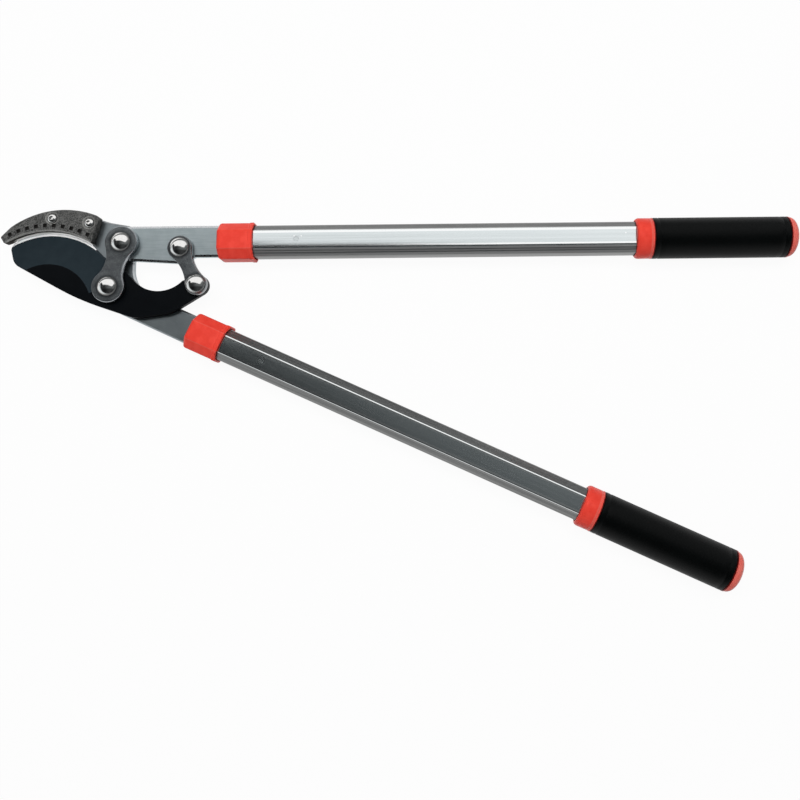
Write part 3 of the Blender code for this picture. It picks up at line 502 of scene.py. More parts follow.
def cast_steel():
    """Rough casting, ground bright on the lip, with painted shade on the face below it and a painted
    highlight on the face's lower part.
    """
    finish = Finish("anvil_casting", metallic=0.3, specular=0.2)
    place = finish.place(centre=(*JAW_CENTRE, 0))
    behind_face = finish.reach(JAW_CENTRE) - FACE_RADIUS * MM
    below_top = ANVIL_TOP * MM - finish.along(place, "Z")
    from_centre = finish.along(place, "X")
    grains = finish.between(finish.noise(place, 0.9, 5.0, 0.8), 0.22, 0.78)
    pits = finish.between(finish.spots(place, 0.9), 0.10, 0.32)
    patches = finish.noise(place, 0.16, 2.0)
    shallow = finish.between(behind_face, 1.6, 1.1)
    lip = shallow * finish.between(below_top, 1.1, 0.85)
    # The face below the lip is painted dark as shade.
    painted_shade_wall = shallow * finish.between(below_top, 0.9, 1.2)
    # The lower part of the working face is painted near white as a highlight.
    face = finish.between(behind_face, 0.5, 0.3) * finish.between(below_top, 4.2, 4.6)
    face = face * finish.between(from_centre, -35.0, -31.0)
    mottling = finish.between(grains * 0.6 + patches * 0.4, 0.3, 0.7)
    rough = finish.blend(mottling, (0.038, 0.039, 0.038), (0.200, 0.200, 0.194))
    ground = finish.blend(grains, (0.25, 0.25, 0.24), (0.48, 0.48, 0.46))
    seats = 0.0
    for spot in SCREW_PLACES:
        seats = finish.between(finish.reach(spot) - SCREW_HEAD * MM, 1.65, 1.4) + seats
    metal = finish.blend(lip * (0.4 + grains * 0.6) + seats * 0.85, rough, ground)
    metal = finish.blend(painted_shade_wall, metal, (0.035, 0.032, 0.028))
    return finish.done(
        finish.blend(face, metal, (0.86, 0.86, 0.84)),
        0.62 + patches * 0.12 - lip * 0.22,
        (grains * 0.55 + pits * 0.45) * (1 - lip * 0.7),
        0.22,
        0.8,
    )


def pocket_bottom_dark():
    """The bottom of the pockets: near black, finely grained."""
    finish = Finish("anvil_pocket_dark")
    grains = finish.noise(finish.place(), 1.6, 4.0, 0.65)
    dark = finish.blend(grains, (0.004, 0.004, 0.004), (0.018, 0.017, 0.015))
    return finish.done(dark, 0.80 + grains * 0.12, grains, 0.15, 0.6)


def pocket_row():
    """A tree that cuts a row of square pockets along an arc, and round seats for the screw heads."""
    sizes = {
        "Pockets": 10,
        "Arc radius": 0.0,
        "First direction": 0.0,
        "Step": 0.0,
        "Side": 0.0,
        "Pocket depth": 0.0,
        "Centre": (0.0, 0.0, 0.0),
        "Top": 0.0,
        "Pocket finish": None,
        "Finish": None,
    }
    bench, given = geometry_tree("anvil_pockets", sizes)
    points = bench.node("GeometryNodePoints", {}, {"Count": given["Pockets"]})
    index = bench.node("GeometryNodeInputIndex", {}, {})
    turn = given["First direction"] - index * given["Step"]
    east = bench.node("ShaderNodeMath", {"operation": "COSINE"}, {0: turn})
    north = bench.node("ShaderNodeMath", {"operation": "SINE"}, {0: turn})
    out = bench.node(
        "ShaderNodeCombineXYZ",
        {},
        {"X": east * given["Arc radius"], "Y": north * given["Arc radius"], "Z": given["Top"]},
    )
    spot = bench.node("ShaderNodeVectorMath", {"operation": "ADD"}, {0: out, 1: given["Centre"]})
    points = bench.node("GeometryNodeSetPosition", {}, {"Geometry": points, "Position": spot})
    block_size = bench.node(
        "ShaderNodeCombineXYZ",
        {},
        {"X": given["Side"], "Y": given["Side"], "Z": given["Pocket depth"] * 2},
    )
    block = bench.node("GeometryNodeMeshCube", {}, {"Size": block_size})
    block = bench.node(
        "GeometryNodeSetMaterial", {}, {"Geometry": block, "Material": given["Pocket finish"]}
    )
    facing = bench.node("ShaderNodeCombineXYZ", {}, {"Z": turn})
    blocks = bench.node(
        "GeometryNodeInstanceOnPoints", {}, {"Points": points, "Instance": block, "Rotation": facing}
    )
    blocks = bench.node("GeometryNodeRealizeInstances", {}, {"Geometry": blocks})
    cut = bench.node(
        "GeometryNodeMeshBoolean",
        {"operation": "DIFFERENCE", "solver": "EXACT"},
        {"Mesh 1": given["Geometry"], "Mesh 2": blocks},
    )
    closed = bench.node("GeometryNodeMergeByDistance", {}, {"Geometry": cut, "Distance": 1e-7})
    return close_tree(bench, closed, given["Finish"], kept=given["Pocket finish"])


def cut_away(piece, cutter, operation="DIFFERENCE"):
    """Take a cutter's shape out of a piece, or keep only what lies inside it, with INTERSECT."""
    step = piece.modifiers.new("cut", "BOOLEAN")
    step.operation = operation
    step.solver = "EXACT"
    step.object = cutter
    piece.data = as_it_stands(piece)
    bpy.data.objects.remove(cutter)


def turned(name, profile, place=(0, 0), base=0.0, steps=64):
    """A piece turned about an upright axis, from (radius, height over base) points, top down outside."""
    mesh = bpy.data.meshes.new(name)
    lines = [(i, i + 1) for i in range(len(profile) - 1)]
    mesh.from_pydata([(r, 0, base + z) for r, z in profile], lines, [])
    piece = placed(name, mesh)
    step = piece.modifiers.new("turn", "SCREW")
    step.steps = steps
    step.render_steps = steps
    step.use_merge_vertices = True
    step.merge_threshold = 0.000005
    piece.data = as_it_stands(piece)
    piece.data.transform(Matrix.Translation((*place, 0)))
    return piece


anvil_corners = plain(bow(JAW_CENTRE, FACE_RADIUS, 120.5, 57))
anvil_corners += [(polar(JAW_CENTRE, FACE_RADIUS + 0.0246, 61.5), 0.002)]
anvil_corners += plain(anvil_back(0.00014))
anvil_corners += [
    (polar(JAW_CENTRE, FACE_RADIUS + 0.0079, 123.19), 0.0015),
    (polar(JAW_CENTRE, FACE_RADIUS + 0.0010, 123.3), 0.0010),
]
anvil = cut_plate(
    "anvil_block",
    filleted(anvil_corners),
    [ring(place, SCREW_HOLE) for place in SCREW_PLACES],
    ANVIL_BOTTOM,
    ANVIL_TOP,
    chamfer=0.0011,
    fall=0.0009,
)
seat_floor = -SCREW_SINK - 0.0001
seat_profile = [
    (0, 0.002),
    (SCREW_HEAD + 0.0034, 0.002),
    (SCREW_HEAD + 0.0014, 0),
    (SCREW_HEAD + 0.0003, -0.0011),
    (SCREW_HEAD + 0.0003, seat_floor),
    (0, seat_floor),
]
for place in SCREW_PLACES:
    cut_away(anvil, turned("seat", seat_profile, place, ANVIL_TOP))
anvil.data.polygons.foreach_set("material_index", [0] * len(anvil.data.polygons))
anvil = made_by(
    anvil,
    pocket_row(),
    {
        "Pockets": 10,
        "Arc radius": FACE_RADIUS + 0.0053,
        "First direction": math.radians(116.8),
        "Step": math.radians(6.1),
        "Side": 0.0036,
        "Pocket depth": 0.0016,
        "Centre": (*JAW_CENTRE, 0.0),
        "Top": ANVIL_TOP,
        "Pocket finish": pocket_bottom_dark(),
        "Finish": cast_steel(),
    },
)
soften(anvil, 20)
fit(anvil, "lower_handle", ["anvil"], [])


# Anvil screws
# Two button-headed screws with six-sided sockets, turned and bright. They go through the anvil and
# the jaw plate into plain nuts at the back.

SCREW_CORE = 0.0024
SCREW_HEAD_HEIGHT = 0.0028
SCREW_CROWN = 0.0026
SCREW_TOP = ANVIL_TOP - SCREW_SINK + SCREW_HEAD_HEIGHT
SCREW_END = 0.0056
SOCKET_CORNER = 0.0021
SOCKET_DEPTH = 0.0020


def join_shapes(bench, *parts):
    """Several shapes as one."""
    both = bench.tree.nodes.new("GeometryNodeJoinGeometry")
    for part in parts:
        bench.tree.links.new(part.socket, both.inputs[0])
    return Reading(bench.tree, both.outputs[0])


def threads():
    """A tree that winds a thread round a piece that stands upright on the origin."""
    sizes = {
        "Radius": 0.0,
        "Pitch": 0.0,
        "Turns": 0.0,
        "Start height": 0.0,
        "Thread depth": 0.0,
        "Finish": None,
    }
    bench, given = geometry_tree("bolt_threads", sizes)
    winding = bench.node(
        "GeometryNodeCurveSpiral",
        {},
        {
            "Resolution": 28,
            "Rotations": given["Turns"],
            "Start Radius": given["Radius"],
            "End Radius": given["Radius"],
            "Height": given["Pitch"] * given["Turns"],
        },
    )
    rise = bench.node("ShaderNodeCombineXYZ", {}, {"Z": given["Start height"]})
    winding = bench.node("GeometryNodeTransform", {}, {"Geometry": winding, "Translation": rise})
    crest = bench.node(
        "GeometryNodeCurvePrimitiveCircle",
        {"mode": "RADIUS"},
        {"Resolution": 4, "Radius": given["Thread depth"]},
    )
    thread = bench.node(
        "GeometryNodeCurveToMesh", {}, {"Curve": winding, "Profile Curve": crest, "Fill Caps": True}
    )
    return close_tree(bench, join_shapes(bench, thread, given["Geometry"]), given["Finish"])


def rounded(radius, height, inwards, drop, degrees):
    """Points of a rounded edge: at 0 degrees on its top, at 90 on its side, that far inwards and down.

    An edge at the lower end of a piece is drawn with a drop below 0.
    """
    turns = [math.radians(t) for t in degrees]
    return [(radius - inwards * (1 - math.sin(t)), height - drop * (1 - math.cos(t))) for t in turns]


def threaded(piece, place, turn, thread, finish):
    """Wind a thread round a turned piece, from its sizes in the tree's order, and set it in place."""
    labels = ("Radius", "Pitch", "Turns", "Start height", "Thread depth")
    piece = made_by(piece, thread_tree, dict(zip(labels, thread)) | {"Finish": finish})
    piece.data.transform(Matrix.Translation((*place, 0)) @ Matrix.Rotation(turn, 4, "Z"))
    soften(piece, 32)
    return piece


def polished_steel(name, places, rim):
    """Polished turned steel: faint rings about each axis, finger marks in the gloss, painted shade at the
    rim.
    """
    finish = Finish(name, metallic=1.0)
    rings = 0.0
    painted_rim_shade = 0.0
    for spot in places:
        reach = finish.reach(spot)
        wave = finish.node("ShaderNodeMath", {"operation": "PINGPONG"}, {0: reach, 1: 0.35})
        near = finish.between(reach, 11.0, 10.0)
        rings = wave * near + rings
        # A dark ring painted at the rim: shade that keeps the bright part of the dome small.
        painted_rim_shade = finish.between(reach, rim * 0.81, rim * 0.97) * near + painted_rim_shade
    place = finish.place()
    smear = finish.noise(place, 0.5, 3.0)
    dust = finish.between(finish.noise(place, 3.0, 4.0, 0.7), 0.62, 0.75)
    bright = finish.blend(smear, (0.78, 0.775, 0.76), (0.90, 0.89, 0.875))
    return finish.done(
        finish.blend(painted_rim_shade * 0.85, bright, (0.08, 0.08, 0.08)),
        0.07 + smear * 0.08 + dust * 0.10 + painted_rim_shade * 0.2,
        rings,
        0.010,
        0.35,
    )


thread_tree = threads()
screw_finish = polished_steel("anvil_screw_polish", SCREW_PLACES, SCREW_HEAD * MM - 0.1)
screw_profile = [(0, SCREW_TOP - 0.0012), (0.0017, SCREW_TOP - 0.0012), (0.0018, SCREW_TOP - 0.0002)]
screw_profile += rounded(SCREW_HEAD, SCREW_TOP, SCREW_HEAD, SCREW_CROWN, range(24, 90, 6))
screw_profile += [
    (SCREW_HEAD, SCREW_TOP - SCREW_CROWN),
    (SCREW_HEAD - 0.0002, SCREW_TOP - SCREW_HEAD_HEIGHT),
    (SCREW_CORE, SCREW_TOP - SCREW_HEAD_HEIGHT),
    (SCREW_CORE, SCREW_END + 0.0005),
    (SCREW_CORE - 0.0005, SCREW_END),
    (0, SCREW_END),
]
for node, place, turn in zip(("anvil_screw_front", "anvil_screw_back"), SCREW_PLACES, (12, 41)):
    screw = turned(node + "_bright", screw_profile)
    key = [polar(Vector((0, 0)), SOCKET_CORNER, turn + 60 * i) for i in range(6)]
    cut_away(screw, cut_plate("key", key, [], SCREW_TOP - SOCKET_DEPTH, SCREW_TOP + 0.001, 5e-5, 5e-5))
    thread = (SCREW_CORE, 0.0008, 6.0, SCREW_END + 0.0004, 0.00022)
    screw = threaded(screw, place, 0.0, thread, screw_finish)
    fit(screw, "lower_handle", [node], [])


# Blade
# A 5 mm blade of tool steel, drop-shaped in front of its pivot and curved back to the rear link. Its
# front is ground hollow towards the edge and all of it is coated black. The edge is honed, and painted
# near white as a highlight.

EDGE_RADIUS = 0.0727
TAIL_PIVOT = Vector((0.0709, -0.0406))
TAIL = 0.0098
TAIL_HOLE = 0.0059  # 2 mm wider all round than the bolt, for the play that the linkage needs
WINDOW_CENTRE = Vector((0.0343, -0.0150))
WINDOW_RADIUS = 0.0307
GRIND_START = 0.0419
GRIND_END = 0.0699
GRIND_HOLLOW = 0.0007
EDGE_LAND = 0.0004
HONED_HEIGHT = 0.0018
HONED_BACK = -0.0262


def coated_steel():
    """Black low-friction coating, painted greyer on the ground hollow as reflection, with faint sweep
    marks.
    """
    finish = Finish("blade_coating", specular=0.08)
    place = finish.place(centre=(*JAW_CENTRE, 0))
    reach = finish.reach(JAW_CENTRE)
    below_top = MIDDLE_TOP * MM - finish.along(place, "Z")
    from_centre = finish.along(place, "X")
    peel = finish.noise(place, 2.2, 2.0)
    cloud = finish.noise(place, 0.10, 3.0)
    sweep = finish.streaks(place, (0.25, 2.4, 0.5), 3.0, 0.6)
    ground = finish.between(below_top, 0.003, 0.05) * finish.between(below_top, 4.9, 4.6)
    ground = ground * finish.between(reach - GRIND_START * MM, -0.9, 0.5)
    ground = ground * finish.between(from_centre, 58.0, 50.0)
    # The same coating is painted greyer on the ground hollow: painted reflection.
    painted_reflection_grey = finish.blend(cloud, (0.011, 0.019, 0.025), (0.020, 0.031, 0.038))
    black = finish.blend(cloud, (0.0012, 0.0018, 0.0026), (0.0028, 0.0038, 0.0050))
    rub = finish.between(reach - GRIND_END * MM, -1.3, 0.0) * ground * finish.between(sweep, 0.45, 0.65)
    return finish.done(
        finish.blend(rub * 0.35, finish.blend(ground, black, painted_reflection_grey), (0.10, 0.11, 0.12)),
        0.34 + peel * 0.08 + ground * 0.04 - cloud * 0.08,
        peel * 0.6 + sweep * ground * 0.4,
        0.035,
        0.5,
    )


def honed_edge():
    """The cutting edge, honed across and painted near white as a highlight, with fine marks towards the
    edge.
    """
    finish = Finish("blade_edge_honed")
    place = finish.place(centre=(*JAW_CENTRE, 0))
    marks = finish.streaks(place, (7.0, 1.0, 1.0), 3.0, 0.7)
    wear = finish.noise(place, 0.4, 2.0)
    # A plain white rather than metal: painted highlight.
    bright = finish.blend(wear, (0.94, 0.95, 0.96), (1.0, 1.0, 1.0))
    return finish.done(bright, 0.30 + marks * 0.16, marks, 0.02, 0.5)


def skinned(name, rows):
    """A closed body over rows of points, each row a loop with as many points as the next."""
    work = bmesh.new()
    rows = [[work.verts.new(point) for point in row] for row in rows]
    for row, following in zip(rows, rows[1:]):
        for i, corner in enumerate(row):
            work.faces.new((row[i - 1], corner, following[i], following[i - 1]))
    work.faces.new(rows[0])
    work.faces.new(rows[-1])
    bmesh.ops.recalc_face_normals(work, faces=work.faces[:])
    return built(name, work)


def round_jaw(name, profile, first, last, step=1.5):
    """A closed body swept about the jaw's centre from (radius, height) points."""
    count = math.ceil((last - first) / step)
    turns = [first + (last - first) * i / count for i in range(count + 1)]
    return skinned(name, [[(*polar(JAW_CENTRE, r, turn), z) for r, z in profile] for turn in turns])


def rod(radius, top, bottom):
    """The profile of a plain round bar."""
    return [(0, top), (radius, top), (radius, bottom), (0, bottom)]


elbow = polar(TAIL_PIVOT, 0.0351, -131.8)
blade_corners = plain(bow(JAW_CENTRE, EDGE_RADIUS, 119, 60, 1.5))
blade_corners += [
    (polar(JAW_CENTRE, EDGE_RADIUS - 0.0025, 44.6), 0.060),
    (polar(BLADE_PIVOT, 0.0199, 45.0), 0.040),
]
blade_corners += plain(bow(WINDOW_CENTRE, WINDOW_RADIUS, -140, -44, 3))
blade_corners += plain(bow(TAIL_PIVOT, TAIL, 130, touching(TAIL_PIVOT, TAIL, elbow, 0.0, 1), 4))
blade_corners += [
    (elbow, 0.030),
    (polar(BLADE_PIVOT, 0.0380, -50.7), 0.030),
    (polar(BLADE_PIVOT, 0.0311, -159.3), 0.230),
    (polar(JAW_CENTRE, EDGE_RADIUS - 0.0185, 127.3), 0.014),
    (polar(JAW_CENTRE, EDGE_RADIUS - 0.0047, 122.9), 0.004),
]
blade = cut_plate(
    "blade_steel",
    filleted(blade_corners, 3.0),
    [ring(BLADE_PIVOT, BUSH), ring(TAIL_PIVOT, TAIL_HOLE)],
    MIDDLE_BOTTOM,
    MIDDLE_TOP,
    chamfer=0.0003,
    fall=0.0003,
)
ground_height = MIDDLE_BOTTOM + HONED_HEIGHT
span = GRIND_END - GRIND_START
wheel = [
    (
        GRIND_START + span * t,
        MIDDLE_TOP + (ground_height - MIDDLE_TOP) * t - GRIND_HOLLOW * math.sin(math.pi * t),
    )
    for t in (i / 7 for i in range(8))
]
grind_profile = [
    (GRIND_START - 0.010, MIDDLE_TOP + 0.010),
    (EDGE_RADIUS + 0.010, MIDDLE_TOP + 0.010),
    (EDGE_RADIUS + 0.010, MIDDLE_BOTTOM + EDGE_LAND),
    (EDGE_RADIUS, MIDDLE_BOTTOM + EDGE_LAND),
]
grind_profile += wheel[::-1]
grind_profile += [(GRIND_START - 0.010, MIDDLE_TOP + 0.0021)]
wheel_cut = round_jaw("wheel_cut", grind_profile, 20, 165)
for radius, top, bottom, place in (  # full thickness is left round the pivot and on the shoulder
    (0.0148, 0.045, MIDDLE_BOTTOM, BLADE_PIVOT),
    (0.0115, 0.046, 0.0150, (0.0100, -0.0310)),
):
    cut_away(wheel_cut, turned("full", rod(radius, top, bottom), place))
cut_away(blade, wheel_cut)
for face in blade.data.polygons:
    out = (face.center.xy - JAW_CENTRE).length
    honed = out > GRIND_END - 0.0001 and face.normal.z > 0.3 and face.center.x < HONED_BACK
    face.material_index = int(honed)
soften(blade, 4)
fit(blade, "blade", ["blade"], [coated_steel(), honed_edge()])


# Links
# Two forged links shaped like dog bones, tumbled so that their edges are round, then left a dark
# satin. The front one joins the fixed pivots over the blade, the rear one pulls on the blade's tail.

LINK_BOTTOM = 0.0218
LINK_TOP = 0.0273


def dog_bone(first, first_radius, last, last_radius, half_waist):
    """The outline of a link: two round heads with hollow sides between them."""
    along = last - first
    length = along.length
    middle = (length**2 + first_radius**2 - last_radius**2) / (2 * length)
    lean = (first_radius - last_radius) / length
    linear = 2 * (middle * lean - (first_radius - half_waist))
    constant = middle**2 - first_radius**2 + half_waist**2
    hollow_radius = 2 * constant / (-linear + math.sqrt(linear**2 - 4 * lean**2 * constant))
    direction = along.normalized()
    side = Vector((-direction.y, direction.x)) * (hollow_radius + half_waist)
    waist = first + direction * (middle + lean * hollow_radius)
    points = []
    for way, head, radius, other in ((1, first, first_radius, last), (-1, last, last_radius, first)):
        centre = waist + side * way
        opposite = waist - side * way
        begin = math.degrees(math.atan2(*reversed(opposite - head)))
        end = math.degrees(math.atan2(*reversed(centre - head)))
        points += bow(head, radius, begin, begin + (end - begin) % -360, 4)[:-1]
        start = math.degrees(math.atan2(*reversed(head - centre)))
        turn = math.degrees(math.atan2(*reversed(other - centre))) - start
        points += bow(centre, hollow_radius, start, start + math.remainder(turn, 360), 3)[:-1]
    return points


def drawing(name, loops, fill):
    """A flat drawing of closed lines."""
    curve = bpy.data.curves.new(name, "CURVE")
    curve.dimensions = "2D"
    curve.fill_mode = fill
    for loop in loops:
        line = curve.splines.new("POLY")
        line.points.add(len(loop) - 1)
        for point, spot in zip(line.points, loop):
            point.co = (spot.x, spot.y, 0, 1)
        line.use_cyclic_u = True
    return placed(name, curve)


def forged_link(name, outline, holes, rounding=0.0014):
    """A thick plate whose edges are rounded by tumbling, with the rounding in its second slot."""
    drawn = drawing(name, [outline] + holes, "BOTH")
    drawn.data.extrude = (LINK_TOP - LINK_BOTTOM) / 2 - rounding
    drawn.data.bevel_depth = rounding
    drawn.data.bevel_resolution = 4
    drawn.data.offset = -rounding
    mesh = as_it_stands(drawn)
    bpy.data.objects.remove(drawn)
    mesh.transform(Matrix.Translation((0, 0, (LINK_TOP + LINK_BOTTOM) / 2)))
    work = bmesh.new()
    work.from_mesh(mesh)
    bmesh.ops.remove_doubles(work, verts=work.verts[:], dist=1e-6)
    bmesh.ops.recalc_face_normals(work, faces=work.faces[:])
    link = built(name, work)
    for face in link.data.polygons:
        face.material_index = int(abs(face.normal.z) < 0.75)
    soften(link, 30)
    return link


def tumbled_steel(name, places):
    """Dark satin steel from the tumbler: cloudy, finely pitted, darker round the bolt heads."""
    finish = Finish(name, metallic=0.9)
    place = finish.place()
    cloud = finish.noise(place, 0.18, 3.0)
    grain = finish.noise(place, 2.4, 4.0, 0.7)
    pits = finish.between(finish.spots(place, 1.6), 0.05, 0.22)
    below_top = LINK_TOP * MM - finish.along(place, "Z")
    wear_and_sheen = finish.between(below_top, 0.02, 0.3) * finish.between(below_top, 3.3, 1.7)
    darker_near_bolts = 0.0
    for spot in places:
        darker_near_bolts = finish.between(finish.reach(spot), 12.5, 9.4) + darker_near_bolts
    speckle = finish.between(cloud * 0.25 + grain * 0.75, 0.34, 0.66)
    satin = finish.blend(speckle, (0.062, 0.070, 0.077), (0.225, 0.240, 0.248))
    satin = finish.blend(darker_near_bolts * 0.62, satin, (0.030, 0.034, 0.036))
    return finish.done(
        finish.blend(wear_and_sheen * 0.45, satin, (0.46, 0.47, 0.48)),
        0.36 + cloud * 0.14 + grain * 0.08,
        grain * 0.5 + pits * 0.5,
        0.05,
        0.5,
    )


for node, body, ends, heads, half_waist, rim_colour in (
    ("front_link", "lower_handle", (MAIN_PIVOT, BLADE_PIVOT), (0.0150, 0.0150), 0.0087, (0.42, 0.44, 0.46)),
    ("rear_link", "rear_link", (LINK_PIVOT, TAIL_PIVOT), (0.0114, 0.0100), 0.0065, (0.30, 0.315, 0.325)),
):
    outline = dog_bone(ends[0], heads[0], ends[1], heads[1], half_waist)
    link = forged_link(node + "_steel", outline, [ring(end, SHANK) for end in ends])
    finishes = [tumbled_steel(node + "_satin", ends), bare_edge(node + "_edge", rim_colour, 0.20)]
    fit(link, body, [node], finishes)


# Pivot bolts
# Four bolts with low domed heads, turned and polished, with a rolled thread at the end. The two on
# the fixed pivots reach down to the table; the two on the rear link are short.

HEAD_SEAT = LINK_TOP + 0.0001
HEAD_RADIUS = 0.0090
HEAD_RIM = 0.0008
HEAD_DOME = 0.0040
BOLT_SHANK = 0.0039
SHORT_END = 0.0062

ball = (HEAD_RADIUS**2 + HEAD_DOME**2) / (2 * HEAD_DOME)
widest = math.degrees(math.asin(HEAD_RADIUS / ball))
dome_top = HEAD_SEAT + HEAD_RIM + HEAD_DOME
dome = rounded(ball, dome_top, ball, ball, [widest * i / 20 for i in range(20)])
for node, place, end, body, turn in (
    ("main_pivot_bolt", MAIN_PIVOT, 0.0, "lower_handle", 0.0),
    ("blade_pivot_bolt", BLADE_PIVOT, 0.0, "lower_handle", 1.3),
    ("tang_link_bolt", LINK_PIVOT, SHORT_END, "rear_link", 2.1),
    ("blade_link_bolt", TAIL_PIVOT, SHORT_END, "rear_link", 0.7),
):
    bolt_profile = dome + [
        (HEAD_RADIUS - 0.00015, HEAD_SEAT + HEAD_RIM + 0.0001),
        (HEAD_RADIUS, HEAD_SEAT + HEAD_RIM - 0.0001),
        (HEAD_RADIUS, HEAD_SEAT + 0.0001),
        (HEAD_RADIUS - 0.0001, HEAD_SEAT),
        (BOLT_SHANK, HEAD_SEAT),
        (BOLT_SHANK, end + 0.0009),
        (BOLT_SHANK - 0.0008, end),
        (0.0014, end),
        (0.0010, end + 0.0005),
        (0, end + 0.0006),
    ]
    bolt = turned(node + "_bright", bolt_profile, steps=96)
    thread = (BOLT_SHANK, 0.00125, 8.0, end + 0.0009, 0.00032)
    polish = polished_steel(node + "_polish", (place,), HEAD_RADIUS * MM - 0.2)
    bolt = threaded(bolt, place, turn, thread, polish)
    fit(bolt, body, [node], [])


# Nuts and bushes
# Flanged lock nuts with a plastic ring hold the four bolts, and two plain nuts hold the anvil. The
# nuts are zinc plated. The bushes that the tang and the blade turn on hardly show.

NUT_CORNER = 0.0130 / math.sqrt(3)
NUT_HEIGHT = 0.0060
SMALL_NUT_CORNER = 0.0080 / math.sqrt(3)
SMALL_NUT_HEIGHT = 0.0045
GAP = 0.0001  # between a nut and the plate that it is tightened on


def zinc(name, dark=(0.46, 0.47, 0.48), light=(0.68, 0.68, 0.66), smoothest=0.24):
    """Zinc plating: pale, a little blotchy, with fine pits."""
    finish = Finish(name, metallic=1.0)
    place = finish.place()
    bloom = finish.noise(place, 0.45, 3.0)
    grain = finish.noise(place, 4.0, 3.0, 0.7)
    colour = finish.blend(bloom, dark, light)
    return finish.done(colour, smoothest + bloom * 0.16 + grain * 0.08, grain, 0.02, 0.5)


def lock_ring():
    """The nut's plastic ring, pale and matt."""
    finish = Finish("lock_ring_nylon")
    cloud = finish.noise(finish.place(), 0.8, 3.0)
    return finish.done(finish.blend(cloud, (0.55, 0.57, 0.60), (0.70, 0.72, 0.74)), 0.42 + cloud * 0.15)


def six_sided(name, place, corner, bottom, top, turn):
    """A hexagon bar cut to length, its corners turned off at both ends."""
    hexagon = [polar(place, corner, turn + 60 * i) for i in range(6)]
    bar = cut_plate(name, hexagon, [], bottom, top, chamfer=0.0001, fall=0.0001)
    across = corner * math.cos(math.radians(30))
    slant = (corner - across) * 0.62
    barrel_profile = [
        (0, top + 0.00001),
        (across * 0.97, top),
        (corner + 0.0002, top - slant),
        (corner + 0.0002, bottom + slant),
        (across * 0.97, bottom),
        (0, bottom - 0.00001),
    ]
    barrel = turned("barrel", barrel_profile, place, steps=48)
    cut_away(bar, barrel, "INTERSECT")
    bar.data.materials.clear()
    bar.data.polygons.foreach_set("material_index", [0] * len(bar.data.polygons))
    return bar


def joined(name, parts):
    """Parts that are made as one piece, each with its own slot."""
    work = bmesh.new()
    for i, part in enumerate(parts):
        before = len(work.faces)
        work.from_mesh(part.data)
        work.faces.ensure_lookup_table()
        for face in work.faces[before:]:
            face.material_index = i
        bpy.data.objects.remove(part)
    piece = built(name, work)
    soften(piece, 32)
    return piece


FLANGE = (  # the profiles of a lock nut, from its face and from the lower end of its hexagon
    (0, 0), (HEAD_RADIUS, 0), (HEAD_RADIUS, -0.0004), (0.0082, -0.0009), (0.0074, -0.0014), (0, -0.0014),
)
COLLAR = (
    (0, 0.0006), (0.0056, 0.0006), (0.0056, -0.0013), (0.0052, -0.0019), (0.0048, -0.0020),
    (0.0048, -0.0014), (0, -0.0014),
)
PLUG = rod(0.00485, -0.0010, -0.0017)
zinc_plate = zinc("nut_zinc")
ring_plastic = lock_ring()
for node, place, face_height, body, turn in (
    ("main_pivot_nut", MAIN_PIVOT, JAW_BOTTOM - GAP, "lower_handle", 8),
    ("blade_pivot_nut", BLADE_PIVOT, JAW_BOTTOM - GAP, "lower_handle", 37),
    ("tang_link_nut", LINK_PIVOT, MIDDLE_BOTTOM - GAP, "rear_link", 21),
    ("blade_link_nut", TAIL_PIVOT, MIDDLE_BOTTOM - GAP, "rear_link", 50),
):
    hex_top = face_height - 0.0010
    hex_bottom = face_height - NUT_HEIGHT
    nut = joined(
        node + "_plated",
        [
            six_sided("hexagon", place, NUT_CORNER, hex_bottom, hex_top, turn),
            turned("flange", FLANGE, place, face_height, 72),
            turned("collar", COLLAR, place, hex_bottom, 48),
            turned("plug", PLUG, place, hex_bottom, 48),
        ],
    )
    fit(nut, body, [node], [zinc_plate, zinc_plate, zinc_plate, ring_plastic])

for node, place, turn in zip(("anvil_nut_front", "anvil_nut_back"), SCREW_PLACES, (5, 33)):
    nut_top = JAW_BOTTOM - GAP
    nut_bottom = nut_top - SMALL_NUT_HEIGHT
    nut = six_sided(node + "_plated", place, SMALL_NUT_CORNER, nut_bottom, nut_top, turn)
    soften(nut, 25)
    fit(nut, "lower_handle", [node], [zinc_plate])

bush_finish = zinc("bush_steel")
for node in ("main_pivot_bush", "blade_pivot_bush"):
    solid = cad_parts[node]
    solid.data.materials.clear()
    solid.data.materials.append(bush_finish)


# Ferrules
# Red moulded sockets pushed over the tubes' front ends. They follow the tube's eight sides, round off
# towards the tang, which comes out through a slot, and end in a small lip round the tube.

upper_front = Matrix.Translation((UPPER_FERRULE, 0, 0))
lower_front = (
    Matrix.Translation((*LOWER_START, 0))
    @ Matrix.Rotation(LOWER_ANGLE, 4, "Z")
    @ Matrix.Translation((LOWER_FERRULE, 0, 0))
)
HANDLES = {  # front end, direction, and the tang's two edges and middle height there
    "upper": (upper_front, 0.0, TANG_TOP, TANG_BOTTOM, (MIDDLE_TOP + MIDDLE_BOTTOM) / 2),
    "lower": (lower_front, LOWER_ANGLE, LOWER_TANG_TOP, LOWER_TANG_BOTTOM, (JAW_TOP + JAW_BOTTOM) / 2),
}
TUBE_START = 0.0053  # this and all lengths along a handle are measured from the ferrule's front end
TUBE_HALF_DEPTH = 0.0120
FERRULE_LENGTH = 0.0334
FERRULE_WALL = 0.0022
FERRULE_NOSE = 0.0036
SLOT_HALF = 0.0028
SLOT_ROOM = 0.0003


